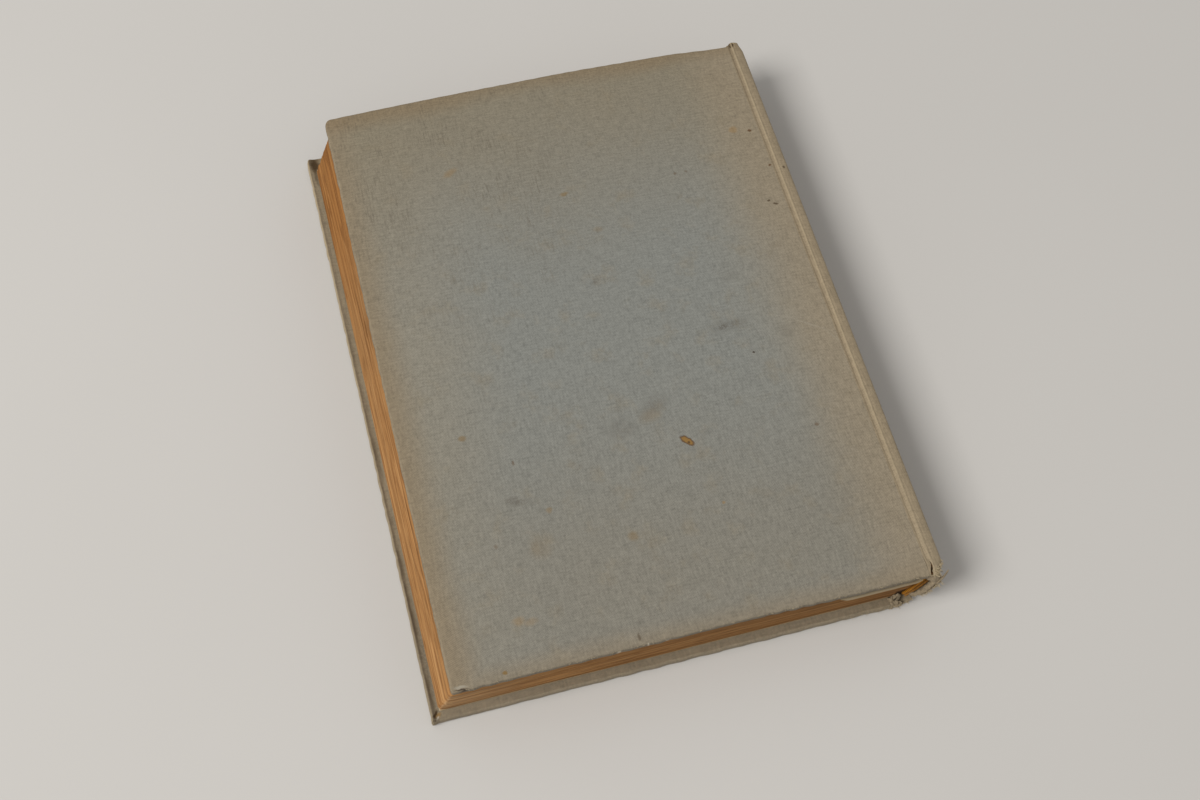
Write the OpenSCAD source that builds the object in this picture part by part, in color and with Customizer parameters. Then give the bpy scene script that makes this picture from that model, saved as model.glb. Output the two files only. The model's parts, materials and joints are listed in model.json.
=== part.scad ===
// Cloth-bound hardback book, worn and leaning, lying on its front cover.
// X runs from the fore-edge to the spine, Y from the tail to the head and Z upwards.
// The origin is the middle of the front cover's outer face, which the book lies on.

/* [Covers] */
// Height of a cover, from its tail edge to its head edge
cover_h = 250; // [180:1:320]
// Width of a cover, from its fore-edge to the groove beside the spine
cover_w = 175; // [120:0.5:230]
// Thickness of the board inside a cover
board_t = 2.5; // [2:0.1:4]
// Thickness of the covering cloth
cloth_t = 0.4; // [0.3:0.05:0.6]
// Width of the cloth that is turned in over a board's inner face
turn_in = 15; // [10:0.5:20]
// Radius that wear has given a cover's outer corners
corner_r = 3.5; // [2:0.1:6]
// Radius that wear has given a cover's edges
edge_r = 1.1; // [0.8:0.05:1.4]

/* [Lean] */
// How far the back cover has slid past the front cover, towards the spine
lean = 9.7; // [0:0.1:12]

/* [Text block] */
// Thickness of the pages
block_t = 21.8; // [16:0.1:35]
// Height of the pages
block_h = 242.3; // [170:0.1:312]
// Strip of cover that shows past the pages at the tail
tail_square = 2.5; // [2.5:0.1:5]
// Strip of cover that shows past the pages at the fore-edge
fore_square = 3.5; // [2:0.1:6]
// Number of sewn sections
sections = 18; // [10:1:30]
// How far the sections stand out of line at the rough fore-edge
section_swell = 0.5; // [0.1:0.05:0.8]

/* [Endpapers] */
// Thickness of the endpapers
paper_t = 0.2; // [0.15:0.05:0.3]
// Air between a closed cover and its flyleaf
leaf_gap = 0.1; // [0.05:0.05:0.3]

/* [Joints] */
// From a board's spine edge to the line on which its cover turns
joint_reach = 3.2; // [2.8:0.1:5]
// Radius of the pages' shoulder round that line
shoulder_r = 1.2; // [0.8:0.05:1.2]
// Room between that shoulder and the cloth over it
shoulder_clear = 0.15; // [0.1:0.05:0.3]
// Depth of the groove that the cloth is pressed into beside the board
groove_depth = 0.3; // [0.2:0.05:0.7]
// Room between an open cover and the cloth of the spine
joint_clear = 0.3; // [0.2:0.05:0.6]

/* [Spine] */
// Bulge of the rounded spine
spine_round = 3; // [2:0.1:5]
// Thickness of the lining glued to the backs of the sections
lining_t = 0.3; // [0.2:0.05:0.6]
// Free gap of the hollow back
hollow = 0.2; // [0.1:0.05:1]
// Thickness of the card inlay behind the spine's cloth
inlay_t = 0.6; // [0.4:0.05:1.2]
// Radius of the bead of the head and tail bands
band_r = 0.8; // [0.8:0.05:1.1]

/* [Wear] */
// Deepest loss of cloth at the torn tail of the spine
tear_depth = 3; // [1:0.1:6]
// Length of the split that runs up the back joint from the tail
split_len = 6; // [2:0.5:15]
// Width of that split at the tail edge
split_w = 0.9; // [0.3:0.1:1.2]

/* [Hidden] */
$fn = 180;

cloth_colour = [0.50, 0.49, 0.45];
page_colour = [0.66, 0.47, 0.29];
paper_colour = [0.80, 0.73, 0.60];
board_colour = [0.55, 0.49, 0.39];
card_colour = [0.52, 0.40, 0.26];
lining_colour = [0.72, 0.50, 0.26];
band_colour = [0.83, 0.53, 0.20];

// Overrun of each cut past the face that it opens
overrun = 1;
// Straight steps in a quarter round
arc_steps = 8;
// Straight steps between two points of a joint's cloth
spline_steps = 6;

// Heights: each cover is cloth, board, turned-in cloth and pastedown, and a flyleaf lies on each side of the pages
board_in = cloth_t + board_t;
cover_t = board_in + cloth_t + paper_t;
block_z0 = cover_t + leaf_gap + paper_t;
block_z1 = block_z0 + block_t;
book_t = block_z1 + block_z0;

// Places along the spine and from the fore-edge to the spine, on the front cover
tail_y = -cover_h / 2;
head_y = cover_h / 2;
fore_x = -cover_w / 2;
joint_x = cover_w / 2;
block_y0 = tail_y + tail_square;
block_y1 = block_y0 + block_h;

// Lines on which the covers turn, as [X, Z], halfway through the thickness of each cover
front_axis = [joint_x + joint_reach, cover_t / 2];
back_axis = [front_axis.x + lean, book_t - cover_t / 2];

// The spine is an arc past the two shoulders, and all its layers are round the same centre
chord = back_axis - front_axis;
chord_l = norm(chord);
outward = [chord.y, -chord.x] / chord_l;
spine_r = (chord_l * chord_l / 4 + spine_round * spine_round) / (2 * spine_round);
spine_c = (front_axis + back_axis) / 2 + [shoulder_r, 0] - (spine_r - spine_round) * outward;
lining_r = spine_r + lining_t;
inlay_r = lining_r + hollow + cloth_t;
spine_cloth_r = inlay_r + inlay_t;

// The spine's card and cloth stop short of the open covers
spine_z0 = cover_t + joint_clear;
spine_z1 = book_t - cover_t - joint_clear;

// Slope of the leaning pages, and their fore-edge at top and bottom
slope = lean / chord.y;
fore_x0 = fore_x + fore_square;
fore_x1 = fore_x0 + slope * block_t;

// Where the joint's cloth runs, as shares of the way from board to hinge line and of the groove's depth
groove_place_share = 0.55;
ridge_place_share = 0.1;
dip_place_share = 0.28;
dip_depth_share = 0.45;
shoulder_fall_share = 0.75;
// Where the band's bead sits over its own flats, as a share of its radius
band_seat_share = 0.7;
// Smallest swell of a section, as a share of the largest, and how the swell wanders from one to the next
least_swell_share = 0.25;
swell_turn = 67;
// Depth of the torn edge across the spine, from the front joint to the back joint
tear_shares = [0.1, 0.35, 0.2, 0.5, 0.3, 0.65, 0.45, 0.9, 0.6, 1, 0.7, 0.95];

// X of the spine's arc of radius r at height z
function spine_x(r, z) = spine_c.x + sqrt(r * r - (z - spine_c.y) * (z - spine_c.y));

// Points of a round corner about c, from angle a0 to a1
function corner(c, r, a0, a1) =
    [for (i = [0:arc_steps]) let (a = a0 + (a1 - a0) * i / arc_steps) c + r * [cos(a), sin(a)]];

// Rectangle rounded at its two corners on the low-X side
function round_left(lo, hi, r) = concat(
    [[hi.x, lo.y], [hi.x, hi.y]],
    corner([lo.x + r, hi.y - r], r, 90, 180),
    corner([lo.x + r, lo.y + r], r, 180, 270));

// Rectangle rounded at all four corners
function round_all(lo, hi, r) = concat(
    corner([hi.x - r, hi.y - r], r, 0, 90),
    corner([lo.x + r, hi.y - r], r, 90, 180),
    corner([lo.x + r, lo.y + r], r, 180, 270),
    corner([hi.x - r, lo.y + r], r, 270, 360));

// Smooth curve through all but the first and last of the points p
function blend(a, b, c, d, t) =
    (2 * b + (c - a) * t + (2 * a - 5 * b + 4 * c - d) * t * t + (3 * b - a - 3 * c + d) * t * t * t) / 2;
function spline(p) = concat(
    [for (i = [1:len(p) - 3], k = [0:spline_steps - 1])
        blend(p[i - 1], p[i], p[i + 1], p[i + 2], k / spline_steps)],
    [p[len(p) - 2]]);

// Outline of a strip of thickness t along a path
function heading(p, i) =
    let (d = p[min(i + 1, len(p) - 1)] - p[max(i - 1, 0)]) [-d.y, d.x] / norm(d);
function ribbon(p, t) = concat(
    [for (i = [0:len(p) - 1]) p[i] + heading(p, i) * t / 2],
    [for (i = [len(p) - 1:-1:0]) p[i] - heading(p, i) * t / 2]);

// Solid block between two corners
module box(lo, hi) {
    translate(lo) cube(hi - lo);
}

// Extrudes an [X, Z] section along Y, from y0 to y1
module along_y(y0, y1) {
    translate([0, y1, 0]) rotate([90, 0, 0]) linear_extrude(height = y1 - y0) children();
}

// Extrudes a [Y, Z] section along X, from x0 to x1
module along_x(x0, x1) {
    translate([x0, 0, 0]) rotate([90, 0, 90]) linear_extrude(height = x1 - x0) children();
}

// Puts what is made for the front cover on the back cover, which is the same turned over and slid by the lean
module on_back() {
    translate([lean, 0, book_t]) mirror([0, 0, 1]) children();
}

// Flat plate with worn corners and edges, square on the side of the spine
module plate(lo, hi, corner_radius, edge_radius) {
    intersection() {
        translate([0, 0, lo.z]) linear_extrude(height = hi.z - lo.z)
            polygon(round_left([lo.x, lo.y], [hi.x, hi.y], corner_radius));
        along_y(lo.y, hi.y) polygon(round_left([lo.x, lo.z], [hi.x, hi.z], edge_radius));
        along_x(lo.x, hi.x) polygon(round_all([lo.y, lo.z], [hi.y, hi.z], edge_radius));
    }
}

// Board up to x1, inside its cloth
module cover_board(x1) {
    plate([fore_x + cloth_t, tail_y + cloth_t, cloth_t], [x1, head_y - cloth_t, board_in],
        corner_r - cloth_t, edge_r - cloth_t);
}

// Cloth wrapped round the board and turned in on three sides of its inner face
module cover_cloth() {
    difference() {
        plate([fore_x, tail_y, 0], [joint_x, head_y, board_in + cloth_t], corner_r, edge_r);
        cover_board(joint_x + overrun);
        box([fore_x + turn_in, tail_y + turn_in, cover_t / 2],
            [joint_x + overrun, head_y - turn_in, cover_t + overrun]);
    }
}

// Endpaper as tall as the pages, pasted to the board and sunk between the turned-in edges that it covers
module pastedown() {
    intersection() {
        box([fore_x0, block_y0, board_in], [joint_x, block_y1, cover_t]);
        difference() {
            union() {
                box([fore_x0, block_y0, board_in + cloth_t], [joint_x, block_y1, cover_t]);
                box([fore_x + turn_in, tail_y + turn_in, board_in], [joint_x, head_y - turn_in, cover_t]);
            }
            box([fore_x + turn_in + paper_t, tail_y + turn_in + paper_t, board_in + paper_t],
                [joint_x + overrun, head_y - turn_in - paper_t, cover_t + overrun]);
        }
    }
}

// Section of a spine layer between two radii and two heights
module spine_layer(r0, r1, z0, z1) {
    intersection() {
        translate([spine_c.x, z0]) square([r1 + overrun, z1 - z0]);
        translate(spine_c) difference() {
            circle(r1);
            circle(r0);
        }
    }
}

// Section of a shoulder: a round bead about the hinge line on a neck that rises from the pages
module shoulder(axis, z0, z1) {
    translate(axis) circle(shoulder_r);
    translate([axis.x - shoulder_r, z0]) square([2 * shoulder_r, z1 - z0]);
}

// Fore-edge of the pages from top to bottom: each section swells a little past the line of the lean
function fore_edge() = [
    for (i = [0:2 * sections])
        let (down = i / (2 * sections),
            wander = least_swell_share + (1 - least_swell_share) * abs(sin(i * swell_turn)))
        [fore_x1 + (fore_x0 - fore_x1) * down - (i % 2) * wander * section_swell, block_z1 - block_t * down]
];

// Section of the pages: flat top and bottom, rounded spine and rough fore-edge
module pages_section() {
    far_x = spine_c.x + spine_r + overrun;
    intersection() {
        polygon(concat([[far_x, block_z0], [far_x, block_z1]], fore_edge()));
        union() {
            translate([fore_x - overrun, 0]) square([spine_c.x - fore_x + overrun, book_t]);
            translate(spine_c) circle(spine_r);
        }
    }
    shoulder(front_axis, front_axis.y, block_z0);
    shoulder(back_axis, block_z1, back_axis.y);
}

// Middle line of a joint's cloth, from the board to the spine. Side is 1 on the front cover and -1 on the back
function joint_path(axis, side) =
    let (skin = side > 0 ? 0 : book_t,
        end_z = side > 0 ? spine_z0 : spine_z1,
        past_z = end_z + side * joint_reach,
        mid_r = spine_cloth_r + cloth_t / 2,
        end = [spine_x(mid_r, end_z), end_z],
        past = [spine_x(mid_r, past_z), past_z],
        fall = end - (past - end) * shoulder_fall_share,
        flush = skin + side * cloth_t / 2,
        ridge = axis.y - side * (shoulder_r + shoulder_clear + cloth_t / 2))
    spline([
        [axis.x - 2 * joint_reach, flush],
        [axis.x - joint_reach, flush],
        [axis.x - joint_reach * groove_place_share, flush + side * groove_depth],
        [axis.x - joint_reach * ridge_place_share, ridge],
        [axis.x + joint_reach * dip_place_share, ridge + side * groove_depth * dip_depth_share],
        fall,
        end,
        past,
        past + (past - end)
    ]);

// Section of a joint's cloth, cut level where the spine's cloth begins
module joint_section(axis, side) {
    z0 = side > 0 ? 0 : spine_z1;
    z1 = side > 0 ? spine_z0 : book_t;
    intersection() {
        polygon(ribbon(joint_path(axis, side), cloth_t));
        translate([axis.x - joint_reach, z0]) square([spine_c.x + spine_cloth_r - axis.x + 2 * joint_reach, z1 - z0]);
    }
}

// Bead of a band round the spine end of the pages, flat where it sits on them and on the lining
module band() {
    a0 = atan2(block_z0 - spine_c.y, spine_x(spine_r, block_z0) - spine_c.x);
    a1 = atan2(block_z1 - spine_c.y, spine_x(spine_r, block_z1) - spine_c.x);
    seat = band_r * band_seat_share;
    translate([spine_c.x, 0, spine_c.y]) rotate([90, 0, 0]) rotate([0, 0, a0])
        rotate_extrude(angle = a1 - a0) intersection() {
            translate([spine_r - seat, seat]) circle(band_r);
            translate([spine_r - 2 * band_r, 0]) square(2 * band_r);
        }
}

// Ragged edge that is lost from the cloth at the tail of the spine
module torn_tail() {
    steps = len(tear_shares) - 1;
    along_x(front_axis.x, spine_c.x + spine_cloth_r + cloth_t + overrun)
        polygon(concat(
            [[tail_y - overrun, spine_z1 + overrun], [tail_y - overrun, spine_z0 - overrun]],
            [for (i = [0:steps]) [tail_y + tear_depth * tear_shares[i],
                i == 0 ? spine_z0 - overrun : i == steps ? spine_z1 + overrun
                    : spine_z0 + (spine_z1 - spine_z0) * i / steps]]));
}

// Split that runs up a joint from the tail, along its groove
module split(axis) {
    groove_x = axis.x - joint_reach * groove_place_share;
    translate([0, 0, -overrun]) linear_extrude(height = book_t + 2 * overrun)
        polygon([
            [groove_x - split_w / 2, tail_y - overrun],
            [groove_x + split_w / 2, tail_y - overrun],
            [groove_x + split_w / 2, tail_y],
            [groove_x, tail_y + split_len],
            [groove_x - split_w / 2, tail_y]
        ]);
}

module text_block() {
    color(page_colour) along_y(block_y0, block_y1) pages_section();
}

module spine_lining() {
    reach = band_r * (1 + band_seat_share);
    color(lining_colour) along_y(block_y0 - reach, block_y1 + reach)
        spine_layer(spine_r, lining_r, block_z0, block_z1);
}

module head_band() {
    color(band_colour) translate([0, block_y1, 0]) mirror([0, 1, 0]) band();
}

module tail_band() {
    color(band_colour) translate([0, block_y0, 0]) band();
}

module front_flyleaf() {
    color(paper_colour) box([fore_x0, block_y0, cover_t + leaf_gap], [joint_x, block_y1, block_z0]);
}

module back_flyleaf() {
    color(paper_colour) box([fore_x1, block_y0, block_z1], [joint_x + lean, block_y1, block_z1 + paper_t]);
}

module spine_inlay() {
    color(card_colour) along_y(tail_y + tear_depth, head_y - cloth_t)
        spine_layer(inlay_r, spine_cloth_r, spine_z0, spine_z1);
}

// Whole at the head, where it is turned in over the inlay, and torn at the tail
module spine_cloth() {
    color(cloth_colour) {
        difference() {
            along_y(tail_y, head_y - cloth_t)
                spine_layer(spine_cloth_r, spine_cloth_r + cloth_t, spine_z0, spine_z1);
            torn_tail();
        }
        along_y(head_y - cloth_t, head_y)
            spine_layer(inlay_r - cloth_t, spine_cloth_r + cloth_t, spine_z0, spine_z1);
        along_y(head_y - turn_in, head_y - cloth_t)
            spine_layer(inlay_r - cloth_t, inlay_r, spine_z0, spine_z1);
    }
}

module front_board() {
    color(board_colour) cover_board(joint_x);
}

module front_cloth() {
    color(cloth_colour) cover_cloth();
}

module front_pastedown() {
    color(paper_colour) pastedown();
}

module front_joint_cloth() {
    color(cloth_colour) along_y(tail_y, head_y) joint_section(front_axis, 1);
}

// Fold of cloth and endpaper from the pastedown to the foot of the shoulder
module front_inner_hinge() {
    color(paper_colour) along_y(block_y0, block_y1) polygon([
        [joint_x, cover_t - paper_t],
        [front_axis.x - shoulder_r, cover_t + leaf_gap],
        [front_axis.x - shoulder_r, block_z0],
        [joint_x, cover_t]
    ]);
}

module back_board() {
    color(board_colour) on_back() cover_board(joint_x);
}

module back_cloth() {
    color(cloth_colour) on_back() cover_cloth();
}

module back_pastedown() {
    color(paper_colour) on_back() pastedown();
}

module back_joint_cloth() {
    color(cloth_colour) difference() {
        along_y(tail_y, head_y) joint_section(back_axis, -1);
        split(back_axis);
    }
}

module back_inner_hinge() {
    color(paper_colour) on_back() along_y(block_y0, block_y1) polygon([
        [joint_x, cover_t - paper_t],
        [front_axis.x - shoulder_r, cover_t + leaf_gap],
        [front_axis.x - shoulder_r, block_z0],
        [joint_x, cover_t]
    ]);
}

text_block();
spine_lining();
head_band();
tail_band();
front_flyleaf();
back_flyleaf();
spine_inlay();
spine_cloth();
front_board();
front_cloth();
front_pastedown();
front_joint_cloth();
front_inner_hinge();
back_board();
back_cloth();
back_pastedown();
back_joint_cloth();
back_inner_hinge();
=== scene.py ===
"""Cloth-bound hardback book, worn and leaning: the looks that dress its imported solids."""

import json
import logging
import math
from dataclasses import dataclass, field, replace
from enum import Enum
from typing import Any, Callable, Optional, Sequence, Union

import bmesh
import bpy
import numpy as np
from mathutils import Matrix, Vector


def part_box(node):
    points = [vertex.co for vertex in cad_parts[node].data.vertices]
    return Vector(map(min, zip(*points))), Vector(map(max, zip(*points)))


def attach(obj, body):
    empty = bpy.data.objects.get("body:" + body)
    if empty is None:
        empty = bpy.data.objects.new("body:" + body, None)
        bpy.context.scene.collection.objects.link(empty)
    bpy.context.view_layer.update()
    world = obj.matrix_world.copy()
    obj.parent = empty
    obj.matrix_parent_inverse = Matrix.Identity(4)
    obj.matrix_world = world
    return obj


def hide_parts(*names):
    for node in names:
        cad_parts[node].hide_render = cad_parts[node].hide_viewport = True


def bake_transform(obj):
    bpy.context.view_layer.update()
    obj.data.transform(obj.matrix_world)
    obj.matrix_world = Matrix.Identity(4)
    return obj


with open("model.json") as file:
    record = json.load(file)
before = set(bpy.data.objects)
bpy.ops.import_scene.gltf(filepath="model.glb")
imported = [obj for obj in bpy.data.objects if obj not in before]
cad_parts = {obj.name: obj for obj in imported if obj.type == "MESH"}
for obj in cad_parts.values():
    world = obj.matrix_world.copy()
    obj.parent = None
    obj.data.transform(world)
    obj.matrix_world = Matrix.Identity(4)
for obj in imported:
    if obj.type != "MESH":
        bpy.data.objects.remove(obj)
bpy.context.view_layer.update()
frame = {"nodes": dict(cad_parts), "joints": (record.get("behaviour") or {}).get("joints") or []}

MM = 0.001
LOG = logging.getLogger("book")
BLOCK = "text_block"
Colour = tuple[float, float, float, float]
Faces = list[list[int]]
Shape = Callable[[np.ndarray], np.ndarray]
Key = Union[int, str]
Sockets = dict[Key, Any]


class Side(Enum):
    """The two covers."""

    FRONT = "front"
    BACK = "back"


class Coord(Enum):
    """Where a finish reads its place on the book from."""

    REST = "rest"
    SOLID = "solid"


class StainAndShade(Enum):
    """Kinds of mark on the cloth, each with its colour: real stains, and colours that some spots and masks use
    as painted shade and painted highlight.
    """

    AMBER = (128, 104, 66)
    RUST = (146, 112, 60)
    RING = (90, 62, 34)
    SOOT = (88, 80, 70)
    # Dark: stains, and one line of painted shade beneath a groove.
    DARK = (58, 46, 38)
    # Pale: marks, and one line of painted highlight above a groove.
    PALE = (164, 156, 140)
    # Brown: stains, and painted shade in folds, gaps, the curled corner and beside the joint ridge.
    BROWN = (66, 49, 28)
    # White: loose fibres, and a painted highlight on a fold.
    WHITE = (206, 196, 178)
    # Painted shadow in the slit and holes at the torn tail.
    HOLLOW = (30, 20, 12)


def tint(red: float, green: float, blue: float) -> Colour:
    """Turns a colour as a screen shows it into a linear one.

    Args:
        red: Red from 0 to 255.
        green: Green from 0 to 255.
        blue: Blue from 0 to 255.

    Returns:
        The linear colour with an alpha of 1.
    """
    def one(level: float) -> float:
        """Linear value of one channel."""
        share = level / 255
        return share / 12.92 if share <= 0.04045 else ((share + 0.055) / 1.055) ** 2.4

    return one(red), one(green), one(blue), 1.0


def mm_box(node: str) -> tuple[np.ndarray, np.ndarray]:
    """Lowest and highest corner of a solid in millimetres.

    Args:
        node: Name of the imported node.

    Returns:
        The two corners.
    """
    low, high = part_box(node)
    return np.array(low) / MM, np.array(high) / MM


class Wander:
    """Smooth seeded wandering between about -1 and 1, a sum of plane waves."""

    def __init__(self, seed: int, length: float, waves: int = 7) -> None:
        """Draws the waves.

        Args:
            seed: Seed of the draw.
            length: Usual wavelength, in the unit of the places asked for.
            waves: Number of waves.
        """
        draw = np.random.default_rng(seed)
        turn = draw.uniform(0, 2 * math.pi, waves)
        rate = 2 * math.pi / length * draw.uniform(0.6, 1.6, waves)
        self.rate_a, self.rate_b = rate * np.cos(turn), rate * np.sin(turn)
        self.phase = draw.uniform(0, 2 * math.pi, waves)

    def __call__(self, a: Any, b: Any = 0.0) -> np.ndarray:
        """Wandering at a place.

        Args:
            a: First coordinate.
            b: Second coordinate.

        Returns:
            One value for each place.
        """
        a, b = np.broadcast_arrays(np.asarray(a, float), np.asarray(b, float))
        waves = a[..., None] * self.rate_a + b[..., None] * self.rate_b + self.phase
        return np.sin(waves).sum(-1) / math.sqrt(2 * len(self.phase))


def bell(distance: Any, width: float) -> np.ndarray:
    """Smooth hump that is 1 at no distance and dies out past its width."""
    return np.exp(-(np.asarray(distance, float) / width) ** 2)


def ease(value: Any, low: float, high: float) -> np.ndarray:
    """Smooth step from 0 at low to 1 at high, or down where low is the larger."""
    share = np.clip((np.asarray(value, float) - low) / (high - low), 0, 1)
    return share * share * (3 - 2 * share)


def grid_faces(rows: int, cols: int, start: int = 0) -> Faces:
    """Quads of a grid of points that are listed row by row.

    Args:
        rows: Number of rows of points.
        cols: Number of points in a row.
        start: Number of the first point.

    Returns:
        The quads.
    """
    at = start + np.arange(rows * cols).reshape(rows, cols)
    quads = np.stack([at[:-1, :-1], at[1:, :-1], at[1:, 1:], at[:-1, 1:]], -1)
    return quads.reshape(-1, 4).tolist()


@dataclass
class Skin:
    """Points in millimetres and faces of a mesh in the making."""

    points: np.ndarray = field(default_factory=lambda: np.zeros((0, 3)))
    faces: Faces = field(default_factory=list)

    def add(self, points: np.ndarray, faces: Faces) -> None:
        """Adds points and the faces between them.

        Args:
            points: New points.
            faces: Faces, numbered from the first new point.
        """
        start = len(self.points)
        self.points = np.vstack([self.points, np.asarray(points, float).reshape(-1, 3)])
        self.faces += [[start + n for n in face] for face in faces]

    def add_grid(self, grid: np.ndarray) -> None:
        """Adds a grid of points, rows by columns by three, with its quads."""
        self.add(grid, grid_faces(grid.shape[0], grid.shape[1]))

    def add_tube(self, path: np.ndarray, radius: Union[float, np.ndarray], sides: int = 6) -> None:
        """Adds a closed tube along a path.

        Args:
            path: Points of the path.
            radius: Radius, one for all or one for each point.
            sides: Number of sides.
        """
        path = np.asarray(path, float)
        radii = np.broadcast_to(np.asarray(radius, float), (len(path),))
        ahead = np.gradient(path, axis=0)
        ahead /= np.linalg.norm(ahead, axis=1)[:, None]
        spare = np.eye(3)[np.argmin(np.abs(ahead).sum(0))]
        across = np.cross(ahead, spare)
        across /= np.linalg.norm(across, axis=1)[:, None]
        over = np.cross(across, ahead)
        turn = 2 * math.pi * np.arange(sides) / sides
        ring = (np.cos(turn)[None, :, None] * across[:, None] + np.sin(turn)[None, :, None] * over[:, None])
        points = path[:, None] + ring * radii[:, None, None]
        faces = []
        for row in range(len(path) - 1):
            for side in range(sides):
                after = (side + 1) % sides
                faces.append([row * sides + side, row * sides + after,
                              (row + 1) * sides + after, (row + 1) * sides + side])
        last = (len(path) - 1) * sides
        faces.append(list(range(sides))[::-1])
        faces.append([last + side for side in range(sides)])
        self.add(points, faces)

    def weld(self, reach: float = 1e-3) -> "Skin":
        """Joins points that lie on each other and drops the faces that this closes.

        Args:
            reach: Distance in millimetres below which points are one.

        Returns:
            The joined mesh.
        """
        keys = np.round(self.points / reach).astype(np.int64)
        _, first, number = np.unique(keys, axis=0, return_index=True, return_inverse=True)
        number = number.reshape(-1)
        faces = []
        for face in self.faces:
            around = [int(number[n]) for n in face]
            around = [n for k, n in enumerate(around) if n != around[k - 1]]
            if len(set(around)) > 2:
                faces.append(around)
        return Skin(self.points[first], faces)

    def normals(self) -> np.ndarray:
        """Normal at each point, the mean of its faces' normals.

        Returns:
            One unit vector for each point.
        """
        total = np.zeros_like(self.points)
        quads = np.array([face if len(face) == 4 else [*face, face[-1]] for face in self.faces])
        a, b, c, d = (self.points[quads[:, k]] for k in range(4))
        turned = np.cross(c - a, d - b)
        for k in range(4):
            np.add.at(total, quads[:, k], turned)
        return total / np.maximum(np.linalg.norm(total, axis=1), 1e-12)[:, None]

    def thick(self, outward: float, inward: float) -> "Skin":
        """Gives a sheet of triangles and quads its thickness.

        Args:
            outward: How far the outer face lies along the normals, in millimetres.
            inward: How far the inner face lies against them.

        Returns:
            The closed sheet.
        """
        normal = self.normals()
        count = len(self.points)
        sides: dict[tuple[int, int], int] = {}
        for face in self.faces:
            for k, n in enumerate(face):
                sides[face[k - 1], n] = 1
        rim = [[b, a, a + count, b + count] for a, b in sides if (b, a) not in sides]
        under = [[n + count for n in face[::-1]] for face in self.faces]
        both = np.vstack([self.points + normal * outward, self.points - normal * inward])
        return Skin(both, self.faces + under + rim)

    def to_object(self, name: str, finish: bpy.types.Material, sharp: float = 45.0) -> bpy.types.Object:
        """Makes a closed mesh object that remembers where its points lie at rest.

        Args:
            name: Name of the piece.
            finish: Its material.
            sharp: Angle in degrees past which an edge stays sharp.

        Returns:
            The new object.
        """
        mesh = bpy.data.meshes.new(name)
        mesh.from_pydata((self.points * MM).tolist(), [], self.faces)
        work = bmesh.new()
        work.from_mesh(mesh)
        bmesh.ops.recalc_face_normals(work, faces=work.faces)
        work.to_mesh(mesh)
        work.free()
        return make_piece(name, mesh, finish, sharp)


def add_strands(skin: Skin, draw: np.random.Generator, roots: np.ndarray, low: Sequence[float],
                high: Sequence[float], length: tuple[float, float], radius: float = 0.13) -> None:
    """Adds loose curling threads, one at each root.

    Args:
        skin: Mesh that they are added to.
        draw: Source of their random forms.
        roots: Places that they grow from, in millimetres.
        low: Least lean along X, Y and Z.
        high: Greatest lean.
        length: Shortest and greatest length.
        radius: Radius at the root.
    """
    run = np.linspace(0, 1, 6)[:, None]
    for root in roots:
        lean = draw.uniform(low, high)
        reach = draw.uniform(*length)
        curl = draw.normal(0, 0.5, 3)
        path = root + lean * run * reach + curl * run ** 2 * reach * 0.5
        path[:, 2] = np.maximum(path[:, 2], radius)
        skin.add_tube(path, np.linspace(radius, radius * 0.4, 6), 5)


def keep_rest(mesh: bpy.types.Mesh) -> None:
    """Stores each point's place at rest, in millimetres, for the finishes to read.

    Args:
        mesh: Mesh whose points are stored.
    """
    place = np.zeros(len(mesh.vertices) * 3, np.float32)
    mesh.vertices.foreach_get("co", place)
    store = mesh.attributes.new(Coord.REST.value, "FLOAT_VECTOR", "POINT")
    store.data.foreach_set("vector", place / MM)


def make_piece(name: str, mesh: bpy.types.Mesh, finish: bpy.types.Material, sharp: float) -> bpy.types.Object:
    """Makes an object of a mesh, which remembers where its points lie at rest.

    Args:
        name: Name of the piece.
        mesh: Its mesh.
        finish: Its material.
        sharp: Angle in degrees past which an edge stays sharp.

    Returns:
        The new object.
    """
    keep_rest(mesh)
    mesh.shade_smooth()
    mesh.set_sharp_from_angle(angle=math.radians(sharp))
    mesh.materials.clear()
    mesh.materials.append(finish)
    piece = bpy.data.objects.new(name, mesh)
    bpy.context.scene.collection.objects.link(piece)
    return piece


def settle(piece: bpy.types.Object, body: str = "", node: str = "") -> bpy.types.Object:
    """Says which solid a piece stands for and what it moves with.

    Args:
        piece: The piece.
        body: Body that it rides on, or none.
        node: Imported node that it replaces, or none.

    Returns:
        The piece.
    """
    if node:
        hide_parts(node)
    if body:
        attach(piece, body)
    return piece


def bent_copy(node: str, name: str, finish: bpy.types.Material, bend: Shape, cuts: int) -> bpy.types.Object:
    """Copies a flat solid with its points moved by a bend.

    Args:
        node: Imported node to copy.
        name: Name of the piece.
        finish: Its material.
        bend: Function from places to places, in millimetres.
        cuts: Number of cuts along each side, so that it can bend.

    Returns:
        The new object.
    """
    low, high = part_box(node)
    work = bmesh.new()
    work.from_mesh(frame["nodes"][node].data)
    bmesh.ops.remove_doubles(work, verts=work.verts, dist=1e-7)
    for axis in range(2):
        normal = Vector((1 - axis, axis, 0))
        for step in range(1, cuts):
            place = low.lerp(high, step / cuts)
            parts = work.verts[:] + work.edges[:] + work.faces[:]
            bmesh.ops.bisect_plane(work, geom=parts, plane_co=place, plane_no=normal)
    mesh = bpy.data.meshes.new(name)
    work.to_mesh(mesh)
    work.free()
    place = np.zeros(len(mesh.vertices) * 3, np.float32)
    mesh.vertices.foreach_get("co", place)
    moved = bend(place.reshape(-1, 3).astype(float) / MM) * MM
    mesh.vertices.foreach_set("co", moved.astype(np.float32).ravel())
    return make_piece(name, mesh, finish, sharp=30)


def dress(node: str, finish: bpy.types.Material) -> None:
    """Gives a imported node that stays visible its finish.

    Args:
        node: Name of the node.
        finish: Its material.
    """
    slots = frame["nodes"][node].data.materials
    slots.clear()
    slots.append(finish)


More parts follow.
